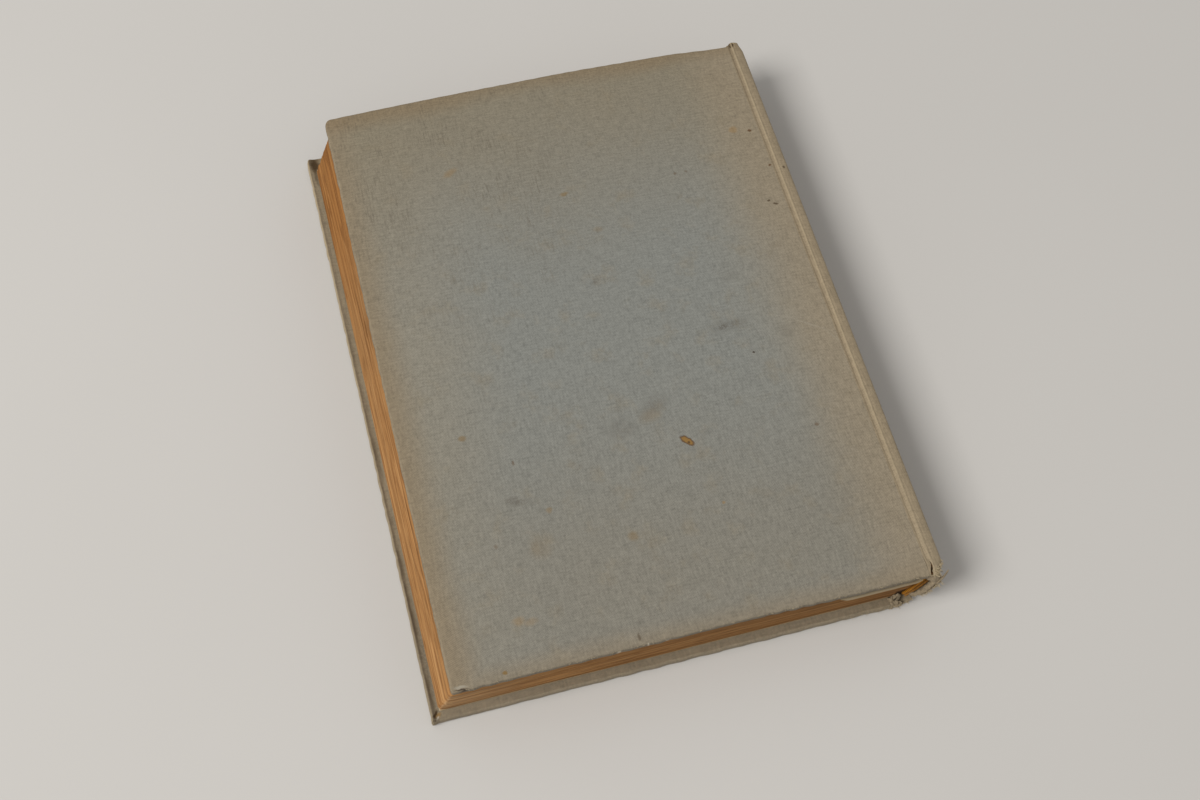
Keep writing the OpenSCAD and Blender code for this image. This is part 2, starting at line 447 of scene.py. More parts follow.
class Sock:
    """A value in a shader graph that takes part in Python arithmetic."""

    def __init__(self, graph: "Graph", socket: bpy.types.NodeSocket) -> None:
        """Wraps a socket.

        Args:
            graph: Graph that the socket belongs to.
            socket: The output socket.
        """
        self.graph = graph
        self.socket = socket

    def __add__(self, other: "Term") -> "Sock":
        """Sum."""
        return self.graph.math("ADD", self, other)

    def __radd__(self, other: "Term") -> "Sock":
        """Sum with a number on the left."""
        return self.graph.math("ADD", other, self)

    def __sub__(self, other: "Term") -> "Sock":
        """Difference."""
        return self.graph.math("SUBTRACT", self, other)

    def __rsub__(self, other: "Term") -> "Sock":
        """Difference with a number on the left."""
        return self.graph.math("SUBTRACT", other, self)

    def __mul__(self, other: "Term") -> "Sock":
        """Product."""
        return self.graph.math("MULTIPLY", self, other)

    def __rmul__(self, other: "Term") -> "Sock":
        """Product with a number on the left."""
        return self.graph.math("MULTIPLY", other, self)

    def sin(self) -> "Sock":
        """Sine."""
        return self.graph.math("SINE", self, 0.0)

    def size(self) -> "Sock":
        """Absolute value."""
        return self.graph.math("ABSOLUTE", self, 0.0)

    def most(self, other: "Term") -> "Sock":
        """Larger of two values."""
        return self.graph.math("MAXIMUM", self, other)

    def step(self, low: float, high: float) -> "Sock":
        """Smooth step from 0 at low to 1 at high, or down where low is the larger."""
        return self.graph.step(self, low, high)


Term = Union[Sock, float]
Tone = Union[Sock, Colour]


class Graph:
    """Shader graph of one material."""

    def __init__(self, name: str) -> None:
        """Starts an empty material.

        Args:
            name: Name of the material.
        """
        self.material = bpy.data.materials.new(name)
        self.material.use_nodes = True
        self.tree = self.material.node_tree
        self.tree.nodes.clear()

    def node(self, kind: str, settings: Optional[dict[str, Any]] = None,
             sockets: Optional[Sockets] = None) -> bpy.types.Node:
        """Adds a node.

        Args:
            kind: The node's type.
            settings: Its own settings, which are set first.
            sockets: Values or links of its inputs, by name or number.

        Returns:
            The node.
        """
        made = self.tree.nodes.new(kind)
        for key, value in (settings or {}).items():
            setattr(made, key, value)
        for key, value in (sockets or {}).items():
            if isinstance(value, Sock):
                self.tree.links.new(value.socket, made.inputs[key])
            else:
                made.inputs[key].default_value = value
        return made

    def out(self, made: bpy.types.Node, key: Key = 0) -> Sock:
        """One output of a node, ready for arithmetic."""
        return Sock(self, made.outputs[key])

    def math(self, operation: str, first: Term, second: Term) -> Sock:
        """Math on values."""
        return self.out(self.node("ShaderNodeMath", {"operation": operation}, {0: first, 1: second}))

    def vectors(self, operation: str, sockets: Sockets, key: Key = 0) -> Sock:
        """Vector Math on vectors or colours."""
        return self.out(self.node("ShaderNodeVectorMath", {"operation": operation}, sockets), key)

    def step(self, value: Sock, low: float, high: float) -> Sock:
        """Smooth step of a value from 0 at low to 1 at high, or down where low is the larger.

        Args:
            value: The value.
            low: Where the step is 0.
            high: Where the step is 1.

        Returns:
            The step.
        """
        swap = low > high
        made = self.node("ShaderNodeMapRange", {"interpolation_type": "SMOOTHSTEP"},
                         {0: value, 1: min(low, high), 2: max(low, high), 3: float(swap), 4: float(not swap)})
        return self.out(made)

    def place(self, coord: Coord) -> Sock:
        """Place on the book at rest, in millimetres.

        Args:
            coord: Whether it comes from the piece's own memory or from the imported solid.

        Returns:
            The place as a vector.
        """
        if coord is Coord.REST:
            return self.out(self.node("ShaderNodeAttribute", {"attribute_name": Coord.REST.value}), "Vector")
        solid = self.out(self.node("ShaderNodeTexCoord"), "Object")
        return self.stretch(solid, (1 / MM, 1 / MM, 1 / MM))

    def stretch(self, vector: Sock, factors: Sequence[float]) -> Sock:
        """Vector times factors."""
        return self.vectors("MULTIPLY", {0: vector, 1: tuple(factors)})

    def shift(self, vector: Sock, other: Sock) -> Sock:
        """Sum of two vectors."""
        return self.vectors("ADD", {0: vector, 1: other})

    def split(self, vector: Sock) -> tuple[Sock, Sock, Sock]:
        """The three parts of a vector."""
        made = self.node("ShaderNodeSeparateXYZ", None, {0: vector})
        return self.out(made, 0), self.out(made, 1), self.out(made, 2)

    def noise(self, vector: Sock, factors: Sequence[float], detail: float = 2.0, rough: float = 0.5) -> Sock:
        """Noise between 0 and 1 at a stretched place.

        Args:
            vector: Place in millimetres.
            factors: Cycles to a millimetre along X, Y and Z.
            detail: Number of finer layers.
            rough: Strength of the finer layers.

        Returns:
            The noise as a value.
        """
        made = self.node("ShaderNodeTexNoise", None, {
            "Vector": self.stretch(vector, factors), "Scale": 1.0, "Detail": detail, "Roughness": rough})
        return self.out(made, 0)

    def mix(self, share: Term, first: Tone, second: Tone, how: str = "MIX") -> Sock:
        """Mix of two colours.

        Args:
            share: Share of the second colour.
            first: First colour.
            second: Second colour.
            how: Way of mixing.

        Returns:
            The mixed colour.
        """
        settings = {"data_type": "RGBA", "blend_type": how}
        return self.out(self.node("ShaderNodeMix", settings, {0: share, 6: first, 7: second}), 2)

    def shade(self, colour: Sock, factor: Sock) -> Sock:
        """Colour made lighter or darker by a factor round 1."""
        return self.vectors("SCALE", {0: colour, "Scale": factor})

    def spot(self, vector: Sock, spot: "Spot") -> Sock:
        """Mask of one spot.

        Args:
            vector: Place in millimetres, already a little disturbed.
            spot: The spot.

        Returns:
            A mask that is the spot's strength in its middle and 0 outside it.
        """
        made = self.node("ShaderNodeMapping", {"vector_type": "TEXTURE"}, {
            "Vector": vector, "Location": (spot.x, spot.y, spot.z),
            "Rotation": (0.0, 0.0, math.radians(spot.turn)), "Scale": (spot.long, spot.wide, spot.deep)})
        length = self.vectors("LENGTH", {0: self.out(made)}, "Value")
        return length.step(1.0 + spot.soft, 1.0 - spot.soft) * spot.strength

    def bump(self, height: Sock, distance: float, strength: float = 1.0) -> Sock:
        """Normal of a relief.

        Args:
            height: Relief between 0 and 1.
            distance: Its depth in millimetres.
            strength: Strength of the effect.

        Returns:
            The normal.
        """
        made = self.node("ShaderNodeBump", None, {
            "Height": height, "Distance": distance * MM, "Strength": strength})
        return self.out(made)

    def finish(self, colour: Tone, rough: Term, normal: Optional[Sock] = None,
               gloss: float = 0.3, fuzz: float = 0.0) -> bpy.types.Material:
        """Closes the graph with its shader.

        Args:
            colour: Base colour.
            rough: Roughness.
            normal: Normal, if there is a relief.
            gloss: Level of the surface's gloss.
            fuzz: Weight of the sheen of loose fibres.

        Returns:
            The material.
        """
        sockets: Sockets = {"Base Color": colour, "Roughness": rough, "Specular IOR Level": gloss,
                            "Sheen Weight": fuzz}
        if normal is not None:
            sockets["Normal"] = normal
        shader = self.out(self.node("ShaderNodeBsdfPrincipled", None, sockets))
        self.node("ShaderNodeOutputMaterial", None, {"Surface": shader})
        return self.material


@dataclass(frozen=True)
class Spot:
    """One mark, with its place and half sizes in millimetres."""

    kind: StainAndShade
    x: float
    y: float
    long: float
    wide: float
    strength: float = 0.8
    turn: float = 0.0
    soft: float = 0.4
    z: float = 29.4
    deep: float = 4.0


BACK_SPOTS = (
    Spot(StainAndShade.RING, 27.6, -52.8, 3.1, 1.45, 0.85, -46, 0.16),
    Spot(StainAndShade.RUST, 27.6, -52.8, 2.4, 0.95, 0.85, -46, 0.2),
    Spot(StainAndShade.DARK, 28.0, -53.6, 0.55, 0.5, 0.7),
    Spot(StainAndShade.SOOT, 56.5, -9.2, 6.0, 2.6, 0.3, 4, 0.8),
    Spot(StainAndShade.SOOT, 55.2, -9.4, 1.9, 1.0, 0.55, 15, 0.7),
    Spot(StainAndShade.SOOT, 61.5, -9.0, 3.4, 1.4, 0.25, 10, 0.8),
    Spot(StainAndShade.SOOT, 78.6, -17.3, 2.2, 3.0, 0.25, 0, 0.7),
    Spot(StainAndShade.DARK, 63.3, -23.0, 0.5, 0.45, 0.9, 0, 0.4),
    Spot(StainAndShade.SOOT, 12.0, 22.3, 1.8, 1.3, 0.5, 20, 0.6),
    Spot(StainAndShade.AMBER, 19.4, 45.5, 2.0, 1.2, 0.25, 0, 0.6),
    Spot(StainAndShade.SOOT, 64.3, 11.6, 3.0, 1.6, 0.25, 0, 0.7),
    Spot(StainAndShade.SOOT, 19.6, -35.5, 5.0, 2.8, 0.4, 25, 0.8),
    Spot(StainAndShade.AMBER, 17.0, -39.5, 4.0, 2.4, 0.25, 15, 0.8),
    Spot(StainAndShade.SOOT, 4.9, -41.7, 5.0, 4.0, 0.3, 0, 0.8),
    Spot(StainAndShade.SOOT, -39.9, -61.0, 4.2, 1.6, 0.5, -15, 0.7),
    Spot(StainAndShade.RING, -51.4, -76.4, 0.8, 0.7, 0.35, 0, 0.6),
    Spot(StainAndShade.AMBER, -53.7, -31.4, 1.4, 1.1, 0.6, 0, 0.5),
    Spot(StainAndShade.AMBER, -29.4, -67.2, 1.2, 1.1, 0.45, 0, 0.5),
    Spot(StainAndShade.AMBER, -35.9, -81.2, 3.8, 3.6, 0.16, 0, 0.5),
    Spot(StainAndShade.AMBER, -37.6, -80.0, 1.5, 2.6, 0.12, 0, 0.6),
    Spot(StainAndShade.RUST, -50.2, -105.6, 1.9, 1.6, 0.34, 0, 0.6),
    Spot(StainAndShade.RUST, -46.0, -107.0, 2.2, 1.3, 0.24, 10, 0.6),
    Spot(StainAndShade.AMBER, -59.2, -122.6, 0.8, 0.7, 0.95),
    Spot(StainAndShade.AMBER, -2.4, -84.6, 1.8, 1.6, 0.42, 0, 0.5),
    Spot(StainAndShade.RUST, 33.5, -80.1, 0.6, 0.6, 0.5),
    Spot(StainAndShade.AMBER, 10.4, 65.0, 1.6, 0.9, 0.62, 10, 0.6),
    Spot(StainAndShade.RUST, -32.0, 86.2, 3.0, 1.4, 0.32, 25, 0.6),
    Spot(StainAndShade.RING, 77.0, -58.3, 0.8, 0.7, 0.5),
    Spot(StainAndShade.RING, -37.6, -45.7, 0.5, 0.9, 0.5),
    Spot(StainAndShade.RUST, 86.8, 79.6, 1.8, 1.6, 0.4, 0, 0.4),
    Spot(StainAndShade.RING, 93.4, 77.7, 0.75, 0.65, 0.85),
    Spot(StainAndShade.RING, 96.2, 59.0, 0.7, 0.6, 0.8),
    Spot(StainAndShade.BROWN, 90.5, 42.4, 0.6, 0.5, 0.75),
    Spot(StainAndShade.BROWN, 92.7, 40.4, 1.1, 0.5, 0.75, -20),
    Spot(StainAndShade.RING, 57.1, 64.1, 0.6, 0.6, 0.4),
    Spot(StainAndShade.RING, 61.7, 64.0, 0.5, 0.5, 0.35),
    Spot(StainAndShade.PALE, 78.5, -10.2, 5.5, 0.35, 0.16, -20, 0.8),
    Spot(StainAndShade.PALE, 88.5, -16.6, 7.0, 0.35, 0.24, -35, 0.8),
    Spot(StainAndShade.PALE, 95.6, -24.0, 4.5, 0.35, 0.16, -55, 0.8),
    Spot(StainAndShade.BROWN, -10.6, -121.8, 0.5, 1.4, 0.55, 0, 0.6),
    # Painted highlight above and painted shade beneath a groove near the tail-left corner.
    Spot(StainAndShade.PALE, -75.3, -123.6, 2.2, 0.5, 0.7, -6, 0.6),
    Spot(StainAndShade.DARK, -75.0, -124.6, 2.2, 0.32, 0.8, -6, 0.5),
    Spot(StainAndShade.WHITE, -18.7, -125.1, 0.7, 0.4, 0.6, 15, 0.6),
    Spot(StainAndShade.WHITE, -7.9, -125.1, 0.4, 0.4, 0.7, 0, 0.6),
    Spot(StainAndShade.WHITE, -1.1, -125.1, 1.2, 0.25, 0.4, 10, 0.6),
)

FRONT_SPOTS = (
    # Dark brown in the head-left corner: partly stain, partly painted shadow under the curled corner.
    Spot(StainAndShade.BROWN, -84.4, 122.4, 1.7, 3.2, 0.92, 0, 0.5, 3.6, 4.0),
    Spot(StainAndShade.BROWN, -84.9, 117.0, 0.8, 4.0, 0.6, 0, 0.6, 3.6, 3.0),
    Spot(StainAndShade.SOOT, -84.6, -104.0, 3.2, 18.0, 0.5, 0, 0.8, 3.6, 4.0),
    Spot(StainAndShade.SOOT, -76.0, -124.6, 9.0, 2.4, 0.35, 0, 0.8, 3.6, 4.0),
    Spot(StainAndShade.RUST, -84.9, -124.0, 1.3, 0.9, 0.7, 30, 0.5, 3.6, 4.0),
    # Painted shade in the fold of the tail-left corner.
    Spot(StainAndShade.BROWN, -85.6, -123.3, 1.7, 0.5, 0.95, 62, 0.5, 3.6, 4.0),
    # Painted highlight on that fold.
    Spot(StainAndShade.WHITE, -85.2, -125.0, 0.9, 0.35, 0.6, 48, 0.6, 3.6, 4.0),
)

SPINE_SPOTS = (
    Spot(StainAndShade.BROWN, 99.5, 122.6, 0.9, 1.3, 0.95, 0, 0.4),
    Spot(StainAndShade.BROWN, 101.7, 57.1, 0.6, 0.6, 0.7),
    # Painted shadow in a hole of the crumpled cloth at the torn tail.
    Spot(StainAndShade.HOLLOW, 89.7, -124.2, 1.0, 0.3, 0.85, 35, 0.6, 4.8, 3.0),
    # Painted shade in a gap of the crumpled cloth.
    Spot(StainAndShade.BROWN, 90.9, -125.4, 0.8, 0.25, 0.8, 60, 0.6, 2.5, 3.0),
)


@dataclass(frozen=True)
class ClothFinish:
    """Plain-weave book cloth, faded in the middle and toned towards its edges."""

    name: str
    middle_x: float
    centre: Colour = tint(130, 130, 123)
    pale: Colour = tint(137, 131, 117)
    edge: Colour = tint(137, 123, 101)
    hinge: Colour = tint(145, 131, 109)
    head: Colour = tint(133, 122, 101)
    tail: Colour = tint(130, 125, 113)
    ochre: Colour = tint(131, 111, 83)
    # Colour of the sooty mottle, also used as painted shade on the back cover's rounded edges.
    soot: Colour = tint(102, 94, 80)
    handled: Colour = tint(134, 121, 98)
    # Lighter colour of rubbed cloth, also used as painted highlight on the front lip's rim and on the joint
    # ridge.
    rubbed_and_lit: Colour = tint(170, 153, 124)
    half_width: float = 87.5
    half_height: float = 125.0
    pitch: float = 0.8
    spots: tuple[Spot, ...] = ()
    # Strength of the dark line just inside the front cover's lip: partly dirt, partly painted shade behind the
    # lip.
    dirt_and_shade_line: float = 0.0
    # X of the back joint's ridge, which gets a partly painted highlight and a painted shadow line beside it.
    worn_and_lit_ridge: float = 0.0
    # Height below which the cloth gets painted shade: the rounded edges and turn-ins.
    shade_below: float = 0.0
    relief_t: float = 0.14
    rough: float = 0.92
    gloss: float = 0.15
    fuzz: float = 0.05

    def material(self) -> bpy.types.Material:
        """Builds the cloth.

        Returns:
            Its material.
        """
        graph = Graph(self.name)
        place = graph.place(Coord.REST)
        x, y, z = graph.split(place)
        warp = graph.noise(place, (1.4, 0.26, 0.4), 2.0, 0.6)
        weft = graph.noise(place, (0.26, 1.4, 0.4), 2.0, 0.6)
        grit = graph.noise(place, (1.3, 1.3, 1.3), 2.0, 0.6)
        colour = self.faded(graph, place)
        slub = warp.step(0.56, 0.74) * y.step(-60, 60) + weft.step(0.56, 0.74) * y.step(60, -60)
        turn = 2 * math.pi / self.pitch
        sway = graph.noise(place, (0.2, 0.2, 0.2)) * 2.2
        weave = (x * turn + sway).sin() * (y * turn + sway).sin()
        cloudy = graph.noise(place, (0.3, 0.3, 0.3), 3.0, 0.6) - 0.5
        threads = (warp - 0.5) * 0.5 + (weft - 0.5) * 0.5 + (grit - 0.5) * 0.5 + cloudy * 0.12
        colour = graph.shade(colour, 1.01 + weave * 0.12 + threads - slub * 0.14)
        colour = self.spotted(graph, place, colour, grit.step(0.36, 0.6))
        if self.dirt_and_shade_line:
            inside = x - self.middle_x + self.half_width
            # Dark line just inside the lip: partly dirt, partly painted shade behind the raised lip.
            line = inside.step(0.8, 1.3) * inside.step(3.0, 1.6) * z.step(2.6, 3.0)
            patchy = graph.noise(place, (0.3, 0.05, 0.3), 3.0).step(0.3, 0.6) * y.step(90, -90)
            colour = graph.mix(line * patchy * self.dirt_and_shade_line, colour, tint(*StainAndShade.BROWN.value))
            # Lighter rim on the lip: partly rubbed wear, partly painted highlight on its lit side.
            rim = inside.step(0.8, 0.3) * z.step(1.8, 2.6) * (0.15 + y.step(-70, 80) * 0.6)
            colour = graph.mix(rim, colour, self.rubbed_and_lit)
        if self.worn_and_lit_ridge:
            # Lighter line on the ridge: partly rubbed wear, partly painted highlight on its lit slope.
            ridge = (x - self.worn_and_lit_ridge).size().step(0.42, 0.08) * z.step(28.4, 29.0)
            ridge = ridge * (0.25 + y.step(-125, -45) * 0.75)
            colour = graph.mix(ridge * (0.25 + grit * 0.9), colour, self.rubbed_and_lit)
            # Painted shadow line just beside the ridge, stronger towards the head.
            crease = (x - self.worn_and_lit_ridge + 1.25).size().step(1.0, 0.4) * z.step(28.4, 29.0)
            upper = y.step(-110, -20) + y.step(80, 120) * 1.2
            colour = graph.mix(crease * (0.03 + upper * 0.11), colour, tint(*StainAndShade.BROWN.value))
        relief = weave * 0.35 + grit * 0.4 + warp * 0.2 + weft * 0.2 + 0.3
        return graph.finish(colour, self.rough, graph.bump(relief, self.relief_t, 0.6), self.gloss, self.fuzz)

    def faded(self, graph: Graph, place: Sock) -> Sock:
        """Colour of the cloth as light and handling have changed it, with painted shade below the outer face
        where asked for.

        Args:
            graph: Graph that the cloth is built in.
            place: Place on the book.

        Returns:
            The colour.
        """
        x, y, z = graph.split(place)
        drift = graph.noise(place, (0.02, 0.02, 0.02), 3.0) - 0.5
        across = x - self.middle_x
        fore = across + self.half_width
        near = self.half_width - across
        foot = y + self.half_height
        faint = (fore + drift * 30).step(54, 6)
        colour = graph.mix(faint.most((near + drift * 24).step(44, 0)), self.centre, self.pale)
        colour = graph.mix((foot + drift * 34).step(115, 15) * (0.95 - faint * 0.5), colour, self.tail)
        colour = graph.mix((y + drift * 30).step(20, 132) * 0.85, colour, self.head)
        colour = graph.mix((near + drift * 8).step(30, 0) * 0.8, colour, self.hinge)
        rim = (fore + drift * 5).step(15, 0).most((foot + drift * 4).step(9, 0) * 0.6)
        colour = graph.mix(rim, colour, self.edge)
        colour = graph.mix((y + drift * 12).step(114, 125) * 0.6, colour, self.ochre)
        mottle = graph.noise(place, (0.05, 0.05, 0.05), 4.0, 0.65)
        streaks = graph.noise(place, (1.5, 0.15, 0.4), 2.0, 0.6).step(0.5, 0.66)
        bars = graph.noise(place, (0.15, 1.5, 0.4), 2.0, 0.6).step(0.54, 0.7) * 0.6
        sooty = mottle.step(0.38, 0.62) * streaks.most(bars) * y.step(-20, 70)
        sooty = sooty * (0.02 + across.step(42, -34) * 0.43)
        colour = graph.mix(sooty, colour, self.soot)
        handled = graph.noise(place, (0.11, 0.11, 0.11), 3.0, 0.6).step(0.52, 0.78)
        colour = graph.mix(handled * 0.3, colour, self.handled)
        # Painted shade on the rounded edges and turn-ins below the outer face.
        if self.shade_below:
            colour = graph.mix(z.step(self.shade_below, self.shade_below - 0.7) * 0.5, colour, self.soot)
        return colour

    def spotted(self, graph: Graph, place: Sock, colour: Sock, grain: Sock) -> Sock:
        """Lays the spots over the cloth.

        Args:
            graph: Graph that the cloth is built in.
            place: Place on the book.
            colour: Colour of the cloth.
            grain: Grain of the threads, which breaks up soot.

        Returns:
            The colour with its spots.
        """
        if not self.spots:
            return colour
        stir = graph.out(graph.node("ShaderNodeTexNoise", None, {
            "Vector": graph.stretch(place, (0.6, 0.6, 0.6)), "Scale": 1.0, "Detail": 2.0}), "Color")
        off = graph.vectors("SUBTRACT", {0: stir, 1: (0.5, 0.5, 0.5)})
        stirred = graph.shift(place, graph.stretch(off, (1.2, 1.2, 0.0)))
        for spot in self.spots:
            mask = graph.spot(stirred, spot)
            if spot.kind is StainAndShade.SOOT:
                mask = mask * grain
            colour = graph.mix(mask, colour, tint(*spot.kind.value))
        return colour


@dataclass(frozen=True)
class PageFinish:
    """Leaf edges toned by light, as fine lines that follow the leaves, with painted highlight and shade on the
    lines and in the section gaps, painted light that falls off along the edges, and a painted shadow in the
    hollow by the spine.
    """

    tail_y: float
    base: float
    height: float
    sections: int
    name: str = "leaf_edges"
    toned: Colour = tint(164, 120, 73)
    # Lighter leaf colour: partly the leaves' own tone, partly painted highlight.
    bright: Colour = tint(180, 139, 92)
    deep: Colour = tint(133, 91, 51)
    brown: Colour = tint(146, 105, 62)
    grey: Colour = tint(150, 130, 102)
    # Dark colour painted as shade in the gaps between sections and between leaves.
    gap: Colour = tint(96, 58, 26)
    end_tone: Colour = tint(222, 222, 222)
    sunned: Colour = (1.0, 0.87, 0.68, 1.0)

    def material(self) -> bpy.types.Material:
        """Builds the leaf edges.

        Returns:
            Their material.
        """
        graph = Graph(self.name)
        place = graph.place(Coord.REST)
        x, y, z = graph.split(place)
        leaves = graph.noise(place, (0.012, 0.012, 2.6), 3.0, 0.7)
        groups = graph.noise(place, (0.006, 0.008, 0.7), 2.0)
        # Leaf lines: partly the leaves' own tone, partly painted highlight and shade.
        colour = graph.mix(leaves.step(0.5, 0.68), self.toned, self.bright)
        colour = graph.mix(leaves.step(0.5, 0.3), colour, self.deep)
        colour = graph.mix(groups.step(0.45, 0.7) * 0.5, colour, self.brown)
        sway = graph.noise(place, (0.02, 0.02, 0.05), 2.0) - 0.5
        # Painted shade in the gaps between sections.
        gap = ((z - self.base) * (math.pi * self.sections / self.height) + sway * 1.6).sin().size()
        colour = graph.mix(gap.step(0.3, 0.04) * 0.42, colour, self.gap)
        lines = graph.noise(place, (0.02, 0.014, 0.55), 3.0, 0.6)
        # Thin dark lines: painted shade between leaves.
        thin = (lines - 0.5).size().step(0.05, 0.008)
        colour = graph.mix(thin * 0.42, colour, self.gap)
        ends = y.step(self.tail_y + 1.0, self.tail_y + 0.3)
        colour = graph.mix(ends * 0.5, colour, graph.mix(1.0, colour, self.end_tone, "MULTIPLY"))
        corner = ends * x.step(-40, -80) * groups.step(0.35, 0.6)
        colour = graph.mix(corner * 0.45, colour, self.grey)
        fibre = graph.noise(place, (1.2, 1.2, 6.0), 2.0)
        streak = graph.noise(place, (0.015, 0.012, 1.0), 2.0, 0.6) - 0.5
        # Painted light: the fore-edge darkens towards the head, and the tail face is lighter by the fore-edge
        # and darker towards the spine.
        painted_light = 1.03 - y.step(-30, 105) * 0.24 + ends * (0.15 - x.step(-85, 60) * 0.3)
        colour = graph.shade(colour, painted_light * (0.9 + fibre * 0.2) * (1.0 + streak * (0.6 + ends * 0.4)))
        colour = graph.mix(y.step(25, 95), colour, graph.mix(1.0, colour, self.sunned, "MULTIPLY"))
        # Painted shadow in the hollow between the pages' tail end and the spine, by the front joint.
        hollow = ends * x.step(89.3, 90.8) * z.step(9.0, 6.5)
        colour = graph.mix(hollow * 0.9, colour, tint(*StainAndShade.HOLLOW.value))
        return graph.finish(colour, 0.9, graph.bump(leaves * 0.7 + fibre * 0.3, 0.15, 0.6), 0.2)


@dataclass(frozen=True)
class PaperFinish:
    """Endpaper, toned along its edges and lightly spotted."""

    name: str
    coord: Coord
    paper: Colour = tint(206, 190, 158)
    toned: Colour = tint(176, 148, 104)
    # Darker colour of the leaf where it passes the tail end of the pages.
    darker_end: Colour = tint(126, 111, 89)
    half_width: float = 84.0
    half_height: float = 121.0
    bare_end: float = 0.0

    def material(self) -> bpy.types.Material:
        """Builds the paper.

        Returns:
            Its material.
        """
        graph = Graph(self.name)
        place = graph.place(self.coord)
        x, y, _ = graph.split(place)
        drift = (graph.noise(place, (0.03, 0.03, 0.03), 3.0) - 0.5) * 26
        sides = (x.size() + drift).step(self.half_width - 34, self.half_width + 8)
        ends = (y.size() + drift).step(self.half_height - 34, self.half_height + 8)
        colour = graph.mix(sides.most(ends) * 0.75, self.paper, self.toned)
        # The leaf is darker past the tail end of the pages.
        if self.bare_end:
            colour = graph.mix(y.step(self.bare_end, self.bare_end - 1.0) * 0.75, colour, self.darker_end)
        spots = graph.noise(place, (0.16, 0.16, 0.16), 3.0, 0.6).step(0.66, 0.74)
        colour = graph.mix(spots * 0.35, colour, tint(*StainAndShade.AMBER.value))
        fibre = graph.noise(place, (0.9, 0.5, 0.9), 4.0, 0.6)
        colour = graph.shade(colour, 0.94 + fibre * 0.12)
        return graph.finish(colour, 0.88, graph.bump(fibre, 0.05, 0.5), 0.25)


@dataclass(frozen=True)
class FibreFinish:
    """Matt fibrous stuff with a grain, such as board, card, lining or thread."""

    name: str
    coord: Coord
    base: Colour
    fleck: Colour
    grain: tuple[float, float, float]
    depth: float = 0.12
    weave: float = 0.0

    def material(self) -> bpy.types.Material:
        """Builds the stuff.

        Returns:
            Its material.
        """
        graph = Graph(self.name)
        place = graph.place(self.coord)
        fibre = graph.noise(place, self.grain, 4.0, 0.65)
        patches = graph.noise(place, (0.08, 0.08, 0.08), 2.0)
        colour = graph.mix(fibre.step(0.45, 0.75) * 0.6 + patches.step(0.5, 0.8) * 0.3, self.base, self.fleck)
        relief = fibre
        if self.weave:
            turn = 2 * math.pi / self.weave
            x, y, z = graph.split(place)
            net = (y * turn).sin() * (z * turn + x * turn).sin()
            colour = graph.shade(colour, 1.0 + net * 0.15)
            relief = fibre * 0.5 + net * 0.25 + 0.25
        return graph.finish(colour, 0.92, graph.bump(relief, self.depth, 0.7), 0.15)


@dataclass(frozen=True)
class BandFinish:
    """Stitched silk of a head or tail band, in amber, with painted shade in the gaps between stitches."""

    name: str
    centre: tuple[float, float]
    stitches: float
    # Darker amber painted as shade in the gaps between stitches.
    amber: Colour = tint(104, 60, 6)
    gold: Colour = tint(182, 120, 14)

    def material(self) -> bpy.types.Material:
        """Builds the silk.

        Returns:
            Its material.
        """
        graph = Graph(self.name)
        place = graph.place(Coord.REST)
        x, y, z = graph.split(place)
        angle = graph.math("ARCTAN2", z - self.centre[1], x - self.centre[0])
        wave = (angle * self.stitches + y * 0.8).sin()
        # Painted shade in the gaps between stitches.
        colour = graph.mix(wave.step(-0.9, 0.1), self.amber, self.gold)
        strand = graph.noise(place, (2.0, 6.0, 2.0), 3.0)
        colour = graph.shade(colour, 0.75 + strand * 0.5)
        return graph.finish(colour, 0.6, graph.bump(strand, 0.08, 0.6), 0.25, 0.05)


@dataclass(frozen=True)
class FloorFinish:
    """Plain pale studio floor."""

    name: str = "pale_floor"
    base: Colour = tint(198, 194, 188)
    cloud: Colour = tint(204, 200, 194)

    def material(self) -> bpy.types.Material:
        """Builds the floor.

        Returns:
            Its material.
        """
        graph = Graph(self.name)
        place = graph.place(Coord.SOLID)
        colour = graph.mix(graph.noise(place, (0.004, 0.004, 0.004), 2.0), self.base, self.cloud)
        return graph.finish(colour, 0.95, None, 0.1)


